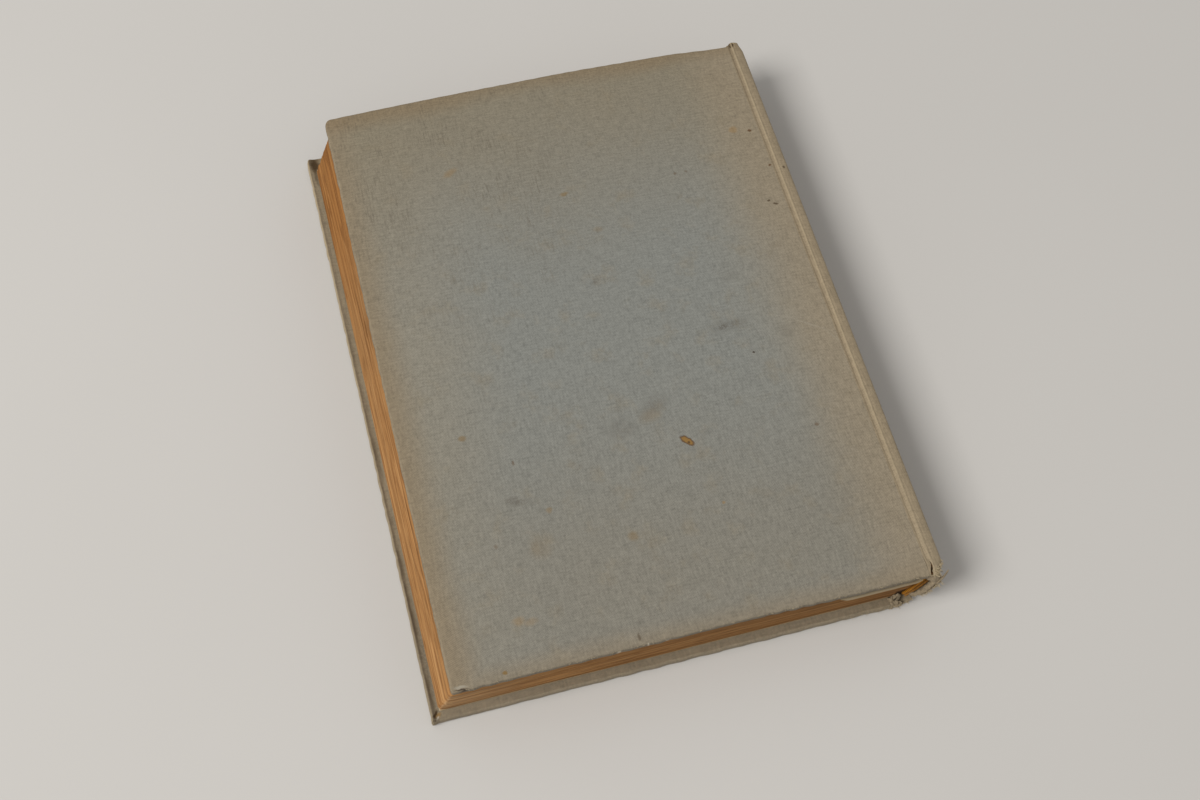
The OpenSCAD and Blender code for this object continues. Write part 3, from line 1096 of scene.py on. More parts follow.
@dataclass
class BookSizes:
    """Sizes and places in millimetres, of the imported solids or, where their boxes don't give them, set here.

    The last six belong to the wear: the squeezed cap, the cloth past the tail, the cap's gap to the head,
    the cloth lost at the torn corner, and the bulge of the back cover's tail edge and the sinking of its head
    edge.
    """

    cloth_t: float = 0.4
    turn_in: float = 15.0
    shoulder_r: float = 1.2
    shoulder_clear: float = 0.15
    groove_depth: float = 0.25
    spine_round: float = 3.0
    lining_t: float = 0.3
    hollow: float = 0.2
    inlay_t: float = 0.6
    paper_t: float = 0.2
    sections: int = 18
    cap_pinch: float = 1.1
    overhang: float = 1.1
    cap_gap: float = 1.2
    torn_bite: float = 4.0
    tail_bulge: float = 0.8
    head_drop: float = 2.4

    def __post_init__(self) -> None:
        """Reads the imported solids."""
        low, high = mm_box("front_cloth")
        self.fore_x, self.tail_y = float(low[0]), float(low[1])
        self.joint_x, self.head_y = float(high[0]), float(high[1])
        self.cloth_in = float(high[2])
        back_low, back_high = mm_box("back_cloth")
        self.lean = float(back_low[0]) - self.fore_x
        self.book_t = float(back_high[2])
        under, over = mm_box("front_flyleaf"), mm_box("back_flyleaf")
        self.block_y0, self.block_y1 = float(under[0][1]), float(under[1][1])
        self.block_z0, self.block_z1 = float(under[1][2]), float(over[0][2])
        self.fore_low, self.fore_high = float(under[0][0]), float(over[0][0])
        self.cover_t = float(mm_box("front_pastedown")[1][2])
        hinge = {joint["child"]: np.array(joint["pos_m"]) / MM for joint in frame["joints"]}
        self.front_axis = hinge["front_cover"][[0, 2]]
        self.back_axis = hinge["back_cover"][[0, 2]]
        self.spine_z0, self.spine_z1 = (float(end[2]) for end in mm_box("spine_cloth"))
        chord = self.back_axis - self.front_axis
        length = float(np.linalg.norm(chord))
        outward = np.array([chord[1], -chord[0]]) / length
        self.spine_r = (length * length / 4 + self.spine_round ** 2) / (2 * self.spine_round)
        middle = (self.front_axis + self.back_axis) / 2 + np.array([self.shoulder_r, 0])
        self.spine_c = middle - (self.spine_r - self.spine_round) * outward
        self.inlay_r = self.spine_r + self.lining_t + self.hollow + self.cloth_t
        self.spine_cloth_r = self.inlay_r + self.inlay_t

    def spine_x(self, radius: float, z: Any) -> np.ndarray:
        """X of the spine's arc of a radius at a height."""
        return self.spine_c[0] + np.sqrt(radius ** 2 - (np.asarray(z, float) - self.spine_c[1]) ** 2)

    def pinch(self, y: Any) -> np.ndarray:
        """How far the cap at the head is squeezed towards the pages."""
        return self.cap_pinch * ease(y, self.head_y - 6.5, self.head_y - 1.2)

    def bulge(self, x: Any) -> np.ndarray:
        """How far the back cover's tail edge stands out, at the front cover's matching place."""
        return self.tail_bulge * ease(x, 15, 70)

    def on_back(self, points: np.ndarray) -> np.ndarray:
        """Places on the back cover that match places of the front cover."""
        return points * np.array([1, 1, -1]) + np.array([self.lean, 0, self.book_t])

    def off_back(self, points: np.ndarray) -> np.ndarray:
        """Places on the front cover that match places of the back cover."""
        return (points - np.array([self.lean, 0, self.book_t])) * np.array([1, 1, -1])


@dataclass
class Cover:
    """One cover: board, cloth with its turned-in edges, pastedown and loose threads."""

    side: Side
    sizes: BookSizes
    cloth: bpy.types.Material
    board: bpy.types.Material
    paper: bpy.types.Material
    thread: bpy.types.Material
    cells_x: int = 124
    cells_y: int = 176
    margin: float = 6.0
    corner_steps: int = 8
    round_steps: int = 5
    tail_r: float = 1.2
    head_r: float = 3.0
    edge_r: float = 1.0
    twist: float = 1.1
    bow: float = 1.0
    sway: float = 0.15
    fray: float = 0.16
    lip: float = 0.45
    bend_cuts: int = 14
    edge_fibres: int = 150
    worn_threads: int = 44
    corner_threads: int = 22
    flat_shares: tuple[float, ...] = (0.0, 0.3, 0.55, 0.75, 0.9, 1.0)
    turn_shares: tuple[float, ...] = (0.02, 0.05, 0.09, 0.14, 0.2, 0.3, 0.5, 1.0)

    def columns(self) -> tuple[np.ndarray, np.ndarray, np.ndarray, np.ndarray]:
        """Columns of the sheet round its tail, fore and head edges.

        Returns:
            For each column its inner end, its place on the outline, the outline's normal there and its
            turned-in end.
        """
        s = self.sizes
        count_x, count_y = self.cells_x + 1, self.cells_y + 1
        inner_x = np.linspace(s.joint_x, s.fore_x + self.margin, count_x)
        inner_y = np.linspace(s.tail_y + self.margin, s.head_y - self.margin, count_y)
        tail_x = np.linspace(s.joint_x, s.fore_x + self.tail_r, count_x)
        head_x = np.linspace(s.joint_x, s.fore_x + self.head_r, count_x)
        rim_y = np.linspace(s.tail_y + self.tail_r, s.head_y - self.head_r, count_y)
        end_x = np.linspace(s.joint_x, s.fore_x + s.turn_in, count_x)
        end_y = np.linspace(s.tail_y + s.turn_in, s.head_y - s.turn_in, count_y)
        rows = []
        for x_in, x_rim, x_end in zip(inner_x, tail_x, end_x):
            rows.append((x_in, inner_y[0], x_rim, s.tail_y, 0, -1, x_end, end_y[0]))
        rows += self.fan((inner_x[-1], inner_y[0]), (tail_x[-1], rim_y[0]), self.tail_r, 270,
                         (end_x[-1], end_y[0]))
        for y_in, y_rim, y_end in zip(inner_y, rim_y, end_y):
            rows.append((inner_x[-1], y_in, s.fore_x, y_rim, -1, 0, end_x[-1], y_end))
        rows += self.fan((inner_x[-1], inner_y[-1]), (head_x[-1], rim_y[-1]), self.head_r, 180,
                         (end_x[-1], end_y[-1]))
        for x_in, x_rim, x_end in zip(inner_x[::-1], head_x[::-1], end_x[::-1]):
            rows.append((x_in, inner_y[-1], x_rim, s.head_y, 0, 1, x_end, end_y[-1]))
        table = np.array(rows, float)
        return table[:, 0:2], table[:, 2:4], table[:, 4:6], table[:, 6:8]

    def fan(self, inner: tuple[float, float], centre: tuple[float, float], radius: float, start: float,
            end: tuple[float, float]) -> list[tuple[float, ...]]:
        """Columns round one corner, which share their two ends.

        Args:
            inner: Inner end.
            centre: Centre of the corner.
            radius: Radius of the corner.
            start: Angle at which the corner starts, in degrees.
            end: Turned-in end.

        Returns:
            One row of numbers for each column.
        """
        rows = []
        for step in range(1, self.corner_steps):
            angle = math.radians(start - 90 * step / self.corner_steps)
            nx, ny = math.cos(angle), math.sin(angle)
            rows.append((*inner, centre[0] + radius * nx, centre[1] + radius * ny, nx, ny, *end))
        return rows

    def flat_sheet(self) -> Skin:
        """Cloth round the board, before wear bends it.

        Returns:
            The sheet's outer face, with its normals outwards.
        """
        s = self.sizes
        inner, rim, normal, end = self.columns()
        near = rim - normal * self.edge_r
        rows = []
        for share in self.flat_shares:
            flat = inner + (near - inner) * share
            rows.append(np.column_stack([flat, np.zeros(len(flat))]))
        turn = np.linspace(0, math.pi / 2, self.round_steps + 1)
        profile = [(self.edge_r * (1 - math.sin(a)), self.edge_r * (1 - math.cos(a))) for a in turn[1:]]
        profile += [(depth, s.cloth_in - z) for depth, z in profile[::-1]] + [(self.edge_r, s.cloth_in)]
        for depth, z in profile:
            flat = rim - normal * depth
            rows.append(np.column_stack([flat, np.full(len(flat), z)]))
        for share in self.turn_shares:
            flat = near + (end - near) * share
            rows.append(np.column_stack([flat, np.full(len(flat), s.cloth_in)]))
        skin = Skin()
        skin.add_grid(np.array(rows))
        x = np.linspace(s.fore_x + self.margin, s.joint_x, self.cells_x + 1)
        y = np.linspace(s.tail_y + self.margin, s.head_y - self.margin, self.cells_y + 1)
        grid_y, grid_x = np.meshgrid(y, x, indexing="ij")
        skin.add_grid(np.stack([grid_x, grid_y, np.zeros_like(grid_x)], -1))
        return skin.weld()

    def bend(self, points: np.ndarray) -> np.ndarray:
        """Twist and bow of the back cover's board, with all that is glued to it.

        Args:
            points: Places on the flat cover, as the front cover lies.

        Returns:
            The places that they have moved to.
        """
        if self.side is Side.FRONT:
            return points
        s = self.sizes
        x, y = points[:, 0], points[:, 1]
        away = (s.joint_x - x) / (s.joint_x - s.fore_x)
        moved = points.copy()
        moved[:, 0] += self.twist * y / s.head_y * away
        drop = s.head_drop * (ease(x, 5, 86) + ease(x, 58, 87)) / 2
        moved[:, 1] -= drop * ease(y, s.head_y - 14, s.head_y)
        arch = 1 - (2 * away - 1) ** 2
        moved[:, 2] -= self.bow * arch * ease(y, -60, s.head_y)
        moved[:, 2] += Wander(5, 80.0)(x, y) * self.sway * ease(away, 0.0, 0.12)
        return moved

    def wear(self, points: np.ndarray) -> np.ndarray:
        """Frayed edges and bumped corners of the cloth.

        Args:
            points: Places on the flat cover, as the front cover lies.

        Returns:
            The places that wear has moved them to.
        """
        s = self.sizes
        x, y, z = points.T
        inside = x - s.fore_x
        foot, top = y - s.tail_y, s.head_y - y
        moved = points.copy()
        edge = np.minimum(inside, np.minimum(foot, top))
        seed = 11 if self.side is Side.BACK else 12
        ragged = Wander(seed, 7.0, 11)(x, y) * bell(edge, 2.0) * self.fray
        moved[:, 0] += ragged * bell(inside, 3.0)
        moved[:, 1] += ragged * (bell(foot, 3.0) - bell(top, 3.0) * 0.5)
        if self.side is Side.BACK:
            moved[:, 1] -= s.bulge(x) * bell(foot, 2.5)
            moved[:, 2] += 0.4 * bell(foot - 0.9, 0.6) * bell(inside - 3.0, 2.2) * ease(z, 1.0, 0.2)
            return moved
        moved[:, 1] += np.where(y > 0, 0.9, 1.1) * (y / s.head_y) ** 3
        inner = ease(z, 1.4, 2.6)
        along = 1 + 0.25 * Wander(21, 60.0)(y)
        along = along * (1 - 0.4 * ease(y, -20, 90))
        rise = self.lip * along * bell(inside - 0.6, 0.55) + 0.18 * bell(foot - 0.6, 0.6)
        rise += 0.4 * bell(top - 0.6, 0.6) * bell(inside, 14.0)
        rise += 1.1 * bell(np.hypot(inside, top) - 0.8, 1.5) + 0.7 * bell(np.hypot(inside, foot) - 0.6, 1.2)
        rise -= 0.3 * bell(np.hypot(inside - 3.4, top - 3.2), 1.5)
        moved[:, 2] += inner * rise
        dent = bell(np.hypot(inside - 1.6, foot), 1.0)
        moved[:, 1] += inner * 0.6 * dent
        tip = bell(np.hypot(inside, foot), 1.3)
        moved[:, :2] -= tip[:, None] * np.array([0.25, 0.55])
        fold = bell(inside * 0.75 - foot * 0.6 - 0.6, 0.35) * bell(np.hypot(inside, foot) - 2.0, 1.4)
        moved[:, 2] -= inner * 0.55 * fold
        return moved

    def in_place(self, points: np.ndarray) -> np.ndarray:
        """Bend for places in the book's frame."""
        return self.sizes.on_back(self.bend(self.sizes.off_back(points)))

    def build(self) -> list[bpy.types.Object]:
        """Makes the cover's pieces.

        Returns:
            The cloth, a bent board and pastedown if the cover is bent, and the threads.
        """
        side = self.side.value
        body = f"{side}_cover"
        skin = self.flat_sheet()
        skin.points = self.bend(self.wear(skin.points))
        if self.side is Side.BACK:
            skin.points = self.sizes.on_back(skin.points)
            skin.faces = [face[::-1] for face in skin.faces]
        skin = skin.thick(0.0, self.sizes.cloth_t * 0.95)
        cloth = skin.to_object(f"{side}_cover_cloth", self.cloth, sharp=60)
        pieces = [settle(cloth, body, f"{side}_cloth")]
        for layer, finish, slot in (("board", self.board, "board"), ("pastedown", self.paper, "endpaper")):
            node = f"{side}_{layer}"
            if self.side is Side.BACK:
                piece = bent_copy(node, f"{side}_cover_{layer}", finish, self.in_place, self.bend_cuts)
                pieces.append(settle(piece, body, node))
            else:
                dress(node, finish)
        return [*pieces, settle(self.threads(), body)]

    def threads(self) -> bpy.types.Object:
        """Makes the fibres that stand out of the cover's worn tail edge, and its frayed corner.

        Returns:
            The piece.
        """
        s = self.sizes
        skin = Skin()
        draw = np.random.default_rng(61 if self.side is Side.BACK else 62)
        if self.side is Side.BACK:
            count = self.edge_fibres
            roots = np.column_stack([draw.uniform(s.fore_x + 2, s.joint_x, count),
                                     np.full(count, s.tail_y + 0.2), draw.uniform(0.2, 0.9, count)])
            roots[:, 1] -= s.bulge(roots[:, 0])
            roots = s.on_back(self.bend(roots))
            add_strands(skin, draw, roots, (-0.9, -0.7, -0.2), (0.9, -0.1, 0.5), (0.3, 1.0), 0.08)
        else:
            count = self.worn_threads
            share = draw.uniform(0, 1, count) ** 0.5
            roots = np.column_stack([s.joint_x - 26 * (1 - share), np.full(count, s.tail_y - 0.95),
                                     draw.uniform(0.6, 3.0, count)])
            add_strands(skin, draw, roots, (-0.5, -1.0, -0.3), (0.5, -0.2, 0.5), (0.3, 1.1), 0.11)
            spread = draw.normal(0, 0.45, (self.corner_threads, 3))
            corner = np.array([s.fore_x + 0.6, s.tail_y - 0.9, 2.9]) + spread
            add_strands(skin, draw, corner, (-0.6, -0.8, 0.0), (0.4, 0.3, 0.7), (0.4, 1.3), 0.1)
        return skin.to_object(f"{self.side.value}_edge_threads", self.thread)


@dataclass
class TextBlock:
    """The pages: sewn sections with a rough fore-edge and trimmed ends, and the two free endpapers."""

    sizes: BookSizes
    edges: bpy.types.Material
    leaf: bpy.types.Material
    leaves: int = 165
    along: int = 96
    across: int = 60
    page_w: float = 170.0
    swell: float = 0.4
    rough: float = 0.11
    deckle: float = 0.3
    round_off: float = 1.2
    slip: float = 3.85
    droop: float = 0.5

    def stations(self) -> np.ndarray:
        """Places along the pages, closer together at their ends.

        Returns:
            Their Y, in order.
        """
        s = self.sizes
        near = np.array([0.2, 0.45, 0.8, 1.2, 1.8])
        middle = np.linspace(s.block_y0, s.block_y1, self.along + 1)
        return np.unique(np.concatenate([middle, s.block_y0 + near, s.block_y1 - near]))

    def fore_offset(self, share: np.ndarray, y: np.ndarray) -> np.ndarray:
        """How far each leaf stands out of the fore-edge's line.

        Args:
            share: Height in the pages, from 0 to 1.
            y: Place along the fore-edge.

        Returns:
            Offsets in millimetres, one row for each leaf.
        """
        draw = np.random.default_rng(3)
        own = draw.normal(0, 1, len(share))
        proud = (draw.uniform(0, 1, len(share)) > 0.88) * draw.uniform(0.4, 1.0, len(share))
        sections = self.sizes.sections
        size = 0.4 + 0.6 * draw.uniform(0, 1, sections + 1)
        blunt = 0.3 + 0.7 * draw.uniform(0, 1, len(share))
        fold = np.abs(np.sin(math.pi * sections * share)) ** 0.5
        fold = fold * size[(share * sections).astype(int)]
        drift = Wander(8, 120.0, 9)(y[None, :], share[:, None] * 900)
        rasp = Wander(9, 14.0, 9)(y[None, :], share[:, None] * 4000)
        coarse = 1 + 0.7 * ease(-y, -20, 120)[None, :]
        offset = fold[:, None] * self.swell + proud[:, None] * self.deckle * (0.6 + 0.4 * drift)
        offset += coarse * self.rough * (own[:, None] * 0.8 + drift * 0.7 + rasp * 0.35)
        ends = bell(y - y[0], 0.8) + 0.7 * bell(y[-1] - y, 0.7)
        return offset - self.round_off * blunt[:, None] * ends[None, :]

    def build(self) -> list[bpy.types.Object]:
        """Makes the pages, their shoulders and the free endpapers.

        Returns:
            The pieces.
        """
        s = self.sizes
        share = np.linspace(0, 1, self.leaves + 1)
        y = self.stations()
        reach = np.linspace(0, 1, self.across + 1) ** 1.5
        z = s.block_z0 + share * (s.block_z1 - s.block_z0)
        line = s.fore_low + share * (s.fore_high - s.fore_low)
        fore = line[:, None] - self.fore_offset(share, y)
        spine = s.spine_x(s.spine_r, z)
        draw = np.random.default_rng(4)
        own = draw.normal(0, 1, len(share))[:, None]
        inside = reach[None, :] * self.page_w
        wave = Wander(13, 60.0)(inside, share[:, None] * 700)
        trim = np.clip(0.05 * own + 0.05 * wave, -0.14, 0.14) - 0.25 * bell(inside, 1.5)
        ends = []
        for station, sign in ((0, -1), (-1, 1)):
            x = fore[:, station][:, None] * (1 - reach) + spine[:, None] * reach
            ends.append(np.stack([x, np.full_like(x, y[station]) + sign * trim, z[:, None] + 0 * x], -1))
        skin = Skin()
        for end in ends:
            skin.add_grid(end)
        low_y, high_y = ends[0][..., 1], ends[1][..., 1]
        course = ((y - y[0]) / (y[-1] - y[0]))[None, :]

        def wall(edge_x: np.ndarray, column: int) -> np.ndarray:
            """Grid of the fore-edge or the spine between the two ends.

            Args:
                edge_x: X of each leaf along the book.
                column: Column of the ends that it meets.

            Returns:
                The grid.
            """
            run = low_y[:, column][:, None] * (1 - course) + high_y[:, column][:, None] * course
            return np.stack([edge_x, run, z[:, None] + 0 * run], -1)

        def lid(row: int) -> np.ndarray:
            """Grid of the first or the last leaf's face.

            Args:
                row: Number of the leaf.

            Returns:
                The grid.
            """
            x = fore[row][:, None] * (1 - reach) + spine[row] * reach
            run = low_y[row][None, :] * (1 - course.T) + high_y[row][None, :] * course.T
            return np.stack([x, run, np.full_like(x, z[row])], -1)

        skin.add_grid(wall(fore, 0))
        skin.add_grid(wall(spine[:, None] + 0 * course, -1))
        skin.add_grid(lid(0))
        skin.add_grid(lid(-1))
        pages = skin.weld().to_object("pages", self.edges, sharp=80)
        settle(pages, BLOCK, "text_block")
        return [pages, self.shoulders(), self.free_leaf(Side.FRONT), self.free_leaf(Side.BACK)]

    def shoulders(self) -> bpy.types.Object:
        """Makes the beads that the covers' joints turn on.

        Returns:
            The piece with both shoulders.
        """
        s = self.sizes
        skin = Skin()
        for axis, level, sign in ((s.front_axis, s.block_z0, 1), (s.back_axis, s.block_z1, -1)):
            turn = np.linspace(math.pi, 2 * math.pi, 17)
            outline = np.column_stack([axis[0] + s.shoulder_r * np.cos(turn),
                                       axis[1] + sign * s.shoulder_r * np.sin(turn)])
            outline = np.vstack([outline, [axis[0] + s.shoulder_r, level], [axis[0] - s.shoulder_r, level]])
            stations = np.linspace(s.block_y0, s.block_y1, 3)
            grid = np.array([np.column_stack([outline[:, 0], np.full(len(outline), y), outline[:, 1]])
                             for y in stations])
            closed = np.concatenate([grid, grid[:, :1]], 1)
            faces = grid_faces(closed.shape[0], closed.shape[1])
            last = (len(stations) - 1) * closed.shape[1]
            faces.append(list(range(len(outline))))
            faces.append([last + n for n in range(len(outline))][::-1])
            skin.add(closed, faces)
        return settle(skin.weld().to_object("page_shoulders", self.edges), BLOCK)

    def free_leaf(self, side: Side) -> bpy.types.Object:
        """Makes a free endpaper, the back one with its tail edge slipped out beside the spine.

        Args:
            side: Front or back.

        Returns:
            The piece.
        """
        low, high = mm_box(f"{side.value}_flyleaf")
        x = np.linspace(low[0], high[0], 90)
        slip = 0 * x
        if side is Side.BACK:
            slip = self.slip * ease(x, 58, 67) * ease(x, high[0] + 2.0, high[0] - 3.0)
        course = np.linspace(0, 1, 60) ** 1.3
        y = (low[1] - slip)[None, :] * (1 - course[:, None]) + high[1] * course[:, None]
        middle = (low[2] + high[2]) / 2
        droop = self.droop * ease(low[1] - y, 0.0, 3.0)
        grid = np.stack([np.repeat(x[None, :], len(course), 0), y, middle - droop], -1)
        skin = Skin()
        skin.add_grid(grid)
        half = (high[2] - low[2]) * 0.48
        leaf = skin.thick(half, half).to_object(f"{side.value}_free_leaf", self.leaf)
        return settle(leaf, BLOCK, f"{side.value}_flyleaf")


@dataclass
class Joint:
    """Cloth and inner fold of one joint."""

    side: Side
    sizes: BookSizes
    cloth: bpy.types.Material
    paper: bpy.types.Material
    thread: bpy.types.Material
    rows: int = 150
    steps: int = 6
    split_len: float = 6.0
    split_w: float = 1.3
    ridge_lift: float = 0.14
    split_bulge: float = 1.0
    ragged: float = 0.35
    board_bite: float = 0.6
    thread_bite: float = 3.6
    front_overhang: float = 0.6
    foot_sink: float = 0.9
    pit: float = 1.1
    ripple: float = 0.06
    back_threads: int = 90
    front_threads: int = 46

    @property
    def axis(self) -> np.ndarray:
        """Line that the cover turns on, as X and Z."""
        return self.sizes.front_axis if self.side is Side.FRONT else self.sizes.back_axis

    @property
    def board_x(self) -> float:
        """X of the board's edge beside the joint."""
        return self.sizes.joint_x + (0.0 if self.side is Side.FRONT else self.sizes.lean)

    def spine_side(self, number: Any) -> np.ndarray:
        """0 over the groove and 1 where the cloth meets the spine, by the number of a point of its path."""
        return ease(number, 20, 33)

    def path(self) -> np.ndarray:
        """Middle line of the cloth from the board to the spine.

        Returns:
            Its points as X and Z.
        """
        s = self.sizes
        front = self.side is Side.FRONT
        axis = self.axis
        side = 1 if front else -1
        reach = axis[0] - self.board_x
        skin = 0.0 if front else s.book_t
        end_z = s.spine_z0 if front else s.spine_z1
        radius = s.spine_cloth_r + s.cloth_t / 2
        end = np.array([float(s.spine_x(radius, end_z)), end_z])
        past = np.array([float(s.spine_x(radius, end_z + side * reach)), end_z + side * reach])
        flush = skin + side * s.cloth_t / 2
        ridge = axis[1] - side * (s.shoulder_r + s.shoulder_clear + s.cloth_t / 2)
        knots = np.array([
            [axis[0] - 2 * reach, flush],
            [axis[0] - reach, flush],
            [axis[0] - reach * 0.68, flush + side * s.groove_depth],
            [axis[0] - reach * 0.31, ridge - side * (0 if front else self.ridge_lift)],
            [axis[0] - reach * 0.06, ridge + side * 0.05],
            [axis[0] + reach * 0.28, ridge + side * s.groove_depth * 0.9],
            end - (past - end) * 0.75,
            end,
            past])
        points = []
        for k in range(1, len(knots) - 2):
            a, b, c, d = knots[k - 1:k + 3]
            for t in np.arange(self.steps) / self.steps:
                points.append((2 * b + (c - a) * t + (2 * a - 5 * b + 4 * c - d) * t ** 2
                               + (3 * b - a - 3 * c + d) * t ** 3) / 2)
        points.append(knots[-2])
        return np.array(points)

    def sheet(self) -> Skin:
        """Cloth of the joint, split along its groove at the tail of the back joint.

        Returns:
            The middle of the sheet.
        """
        s = self.sizes
        path = self.path()
        groove = self.steps
        back = self.side is Side.BACK
        course = np.concatenate([np.linspace(0, 0.05, 18)[:-1], np.linspace(0.05, 1, self.rows)])
        number = np.arange(len(path))
        if back:
            foot = s.tail_y - (s.overhang + self.ragged * Wander(33, 5.0)(number))
            foot = foot + (self.board_bite * ease(number, groove, 0) + s.torn_bite * self.spine_side(number))
            drop = s.head_drop * ease(number, 3 * groove, 0)
        else:
            foot = s.tail_y - self.front_overhang + 0.0 * number
            drop = 0.0
        top = s.head_y - np.maximum(s.cap_gap * ease(number, 0, groove + 2), drop)
        skin = Skin()
        for first, last, sign in ((0, groove + 1, -1), (groove, len(path), 1)):
            at = number[first:last]
            low, high = foot[None, first:last], top[None, first:last]
            y = low * (1 - course[:, None]) + high * course[:, None]
            x = np.repeat(path[None, first:last, 0], len(course), 0)
            z = np.repeat(path[None, first:last, 1], len(course), 0)
            if back:
                past = y - low
                near = bell(at - groove, 3.0)[None, :]
                x = x + sign * self.split_w / 2 * np.clip(1 - past / self.split_len, 0, 1) * near
                x = x + self.split_bulge * bell(past - 4.0, 2.2) * bell(at - groove, 5.0)[None, :]
                z = z - self.foot_sink * ease(past, 2.4, 0.0) * (1 if sign > 0 else 0.3)
                hollow = bell(at - 1.6 * groove, 3.0)[None, :]
                z = z - self.pit * bell(y - high + 1.2, 1.0) * hollow
                x = x - s.pinch(y) * self.spine_side(at)[None, :]
            z = z + Wander(31, 25.0)(y) * bell(at - 15, 9.0)[None, :] * self.ripple
            skin.add_grid(np.stack([x, y, np.maximum(z, s.cloth_t / 2)], -1))
        if not back:
            skin.add_grid(self.lip())
        skin = skin.weld()
        if not back:
            skin.faces = [face[::-1] for face in skin.faces]
        return skin

    def lip(self) -> np.ndarray:
        """Cloth turned in over the tail of the front joint, past the end of the pages.

        Returns:
            Its grid of points.
        """
        s = self.sizes
        across = np.linspace(0, 1, 22)[None, :]
        deep = np.linspace(0, 1, 14)[:, None]
        x = s.joint_x - 0.4 + (4.6 + 0.7 * Wander(36, 1.7)(deep * 3.4)) * across
        y = s.tail_y - 1.0 + 3.2 * deep + 0.3 * Wander(37, 1.6)(across * 5)
        peak = bell(across - 0.68, 0.3) + 0.3 * Wander(39, 1.1)(across * 5)
        level = s.cloth_in - 0.1 + 2.8 * peak * ease(deep, 0.2, 1.0)
        crumple = 0.45 * Wander(38, 1.6, 9)(across * 5.6, deep * 3.2)
        z = 0.4 + (level - 0.4 + crumple) * ease(deep, -0.02, 0.3)
        return np.stack([x, y + 0 * x, z + 0 * x], -1)

    def threads(self) -> bpy.types.Object:
        """Makes the loose threads at the joint's tail.

        Returns:
            The piece.
        """
        s = self.sizes
        path = self.path()
        skin = Skin()
        if self.side is Side.BACK:
            draw = np.random.default_rng(63)
            count = self.back_threads
            number = draw.integers(self.steps + 1, len(path), count)
            at = path[number]
            foot = s.tail_y - draw.uniform(-1.2, 1.0, count) + self.thread_bite * self.spine_side(number)
            roots = np.column_stack([at[:, 0], foot, at[:, 1] + 0.1])
            roots[:, 2] -= self.foot_sink * ease(roots[:, 1], s.tail_y + 1.3, s.tail_y - 1.1)
            add_strands(skin, draw, roots, (-0.3, -1.0, -0.2), (0.9, 0.1, 0.5), (0.5, 1.9), 0.13)
        else:
            draw = np.random.default_rng(64)
            count = self.front_threads
            at = path[draw.integers(0, len(path), count)]
            roots = np.column_stack([at[:, 0], np.full(count, s.tail_y - 0.7),
                                     at[:, 1] + draw.uniform(0.2, 2.0, count)])
            add_strands(skin, draw, roots, (-0.5, -1.0, -0.3), (0.5, -0.2, 0.5), (0.4, 1.4), 0.12)
        return skin.to_object(f"{self.side.value}_joint_threads", self.thread)

    def build(self) -> list[bpy.types.Object]:
        """Makes the joint's cloth, its threads and its inner fold.

        Returns:
            The three pieces.
        """
        s = self.sizes
        name = self.side.value
        sheet = self.sheet().thick(s.cloth_t / 2, s.cloth_t / 2)
        cloth = sheet.to_object(f"{name}_joint_strip", self.cloth, sharp=60)
        settle(cloth, node=f"{name}_joint_cloth")
        threads = settle(self.threads())
        spine_x, height = 2 * float(self.axis[0]) - self.board_x, float(self.axis[1])
        for piece in (cloth, threads):
            spine_x * MM
            height * MM
            self.board_x * MM
            height * MM
            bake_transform(piece)
        return [cloth, threads, self.inner_fold()]

    def inner_fold(self) -> bpy.types.Object:
        """Makes the fold of cloth and endpaper from the pastedown to the shoulder.

        Returns:
            The piece.
        """
        s = self.sizes
        name = self.side.value
        level = s.cover_t - s.paper_t / 2
        foot = s.block_z0 - s.paper_t / 2
        rise = np.linspace(0, 1, 13)
        x = self.board_x + (self.axis[0] - s.shoulder_r - self.board_x) * rise
        z = level + (foot - level) * (rise * rise * (3 - 2 * rise))
        if self.side is Side.BACK:
            z = s.book_t - z
        y = np.linspace(s.block_y0, s.block_y1, 60)
        grid = np.stack([np.repeat(x[None], len(y), 0), np.repeat(y[:, None], len(x), 1),
                         np.repeat(z[None], len(y), 0)], -1)
        skin = Skin()
        skin.add_grid(grid)
        fold = skin.thick(s.paper_t / 2, s.paper_t / 2).to_object(f"{name}_inner_fold", self.paper)
        settle(fold, node=f"{name}_inner_hinge")
        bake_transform(fold)
        return fold


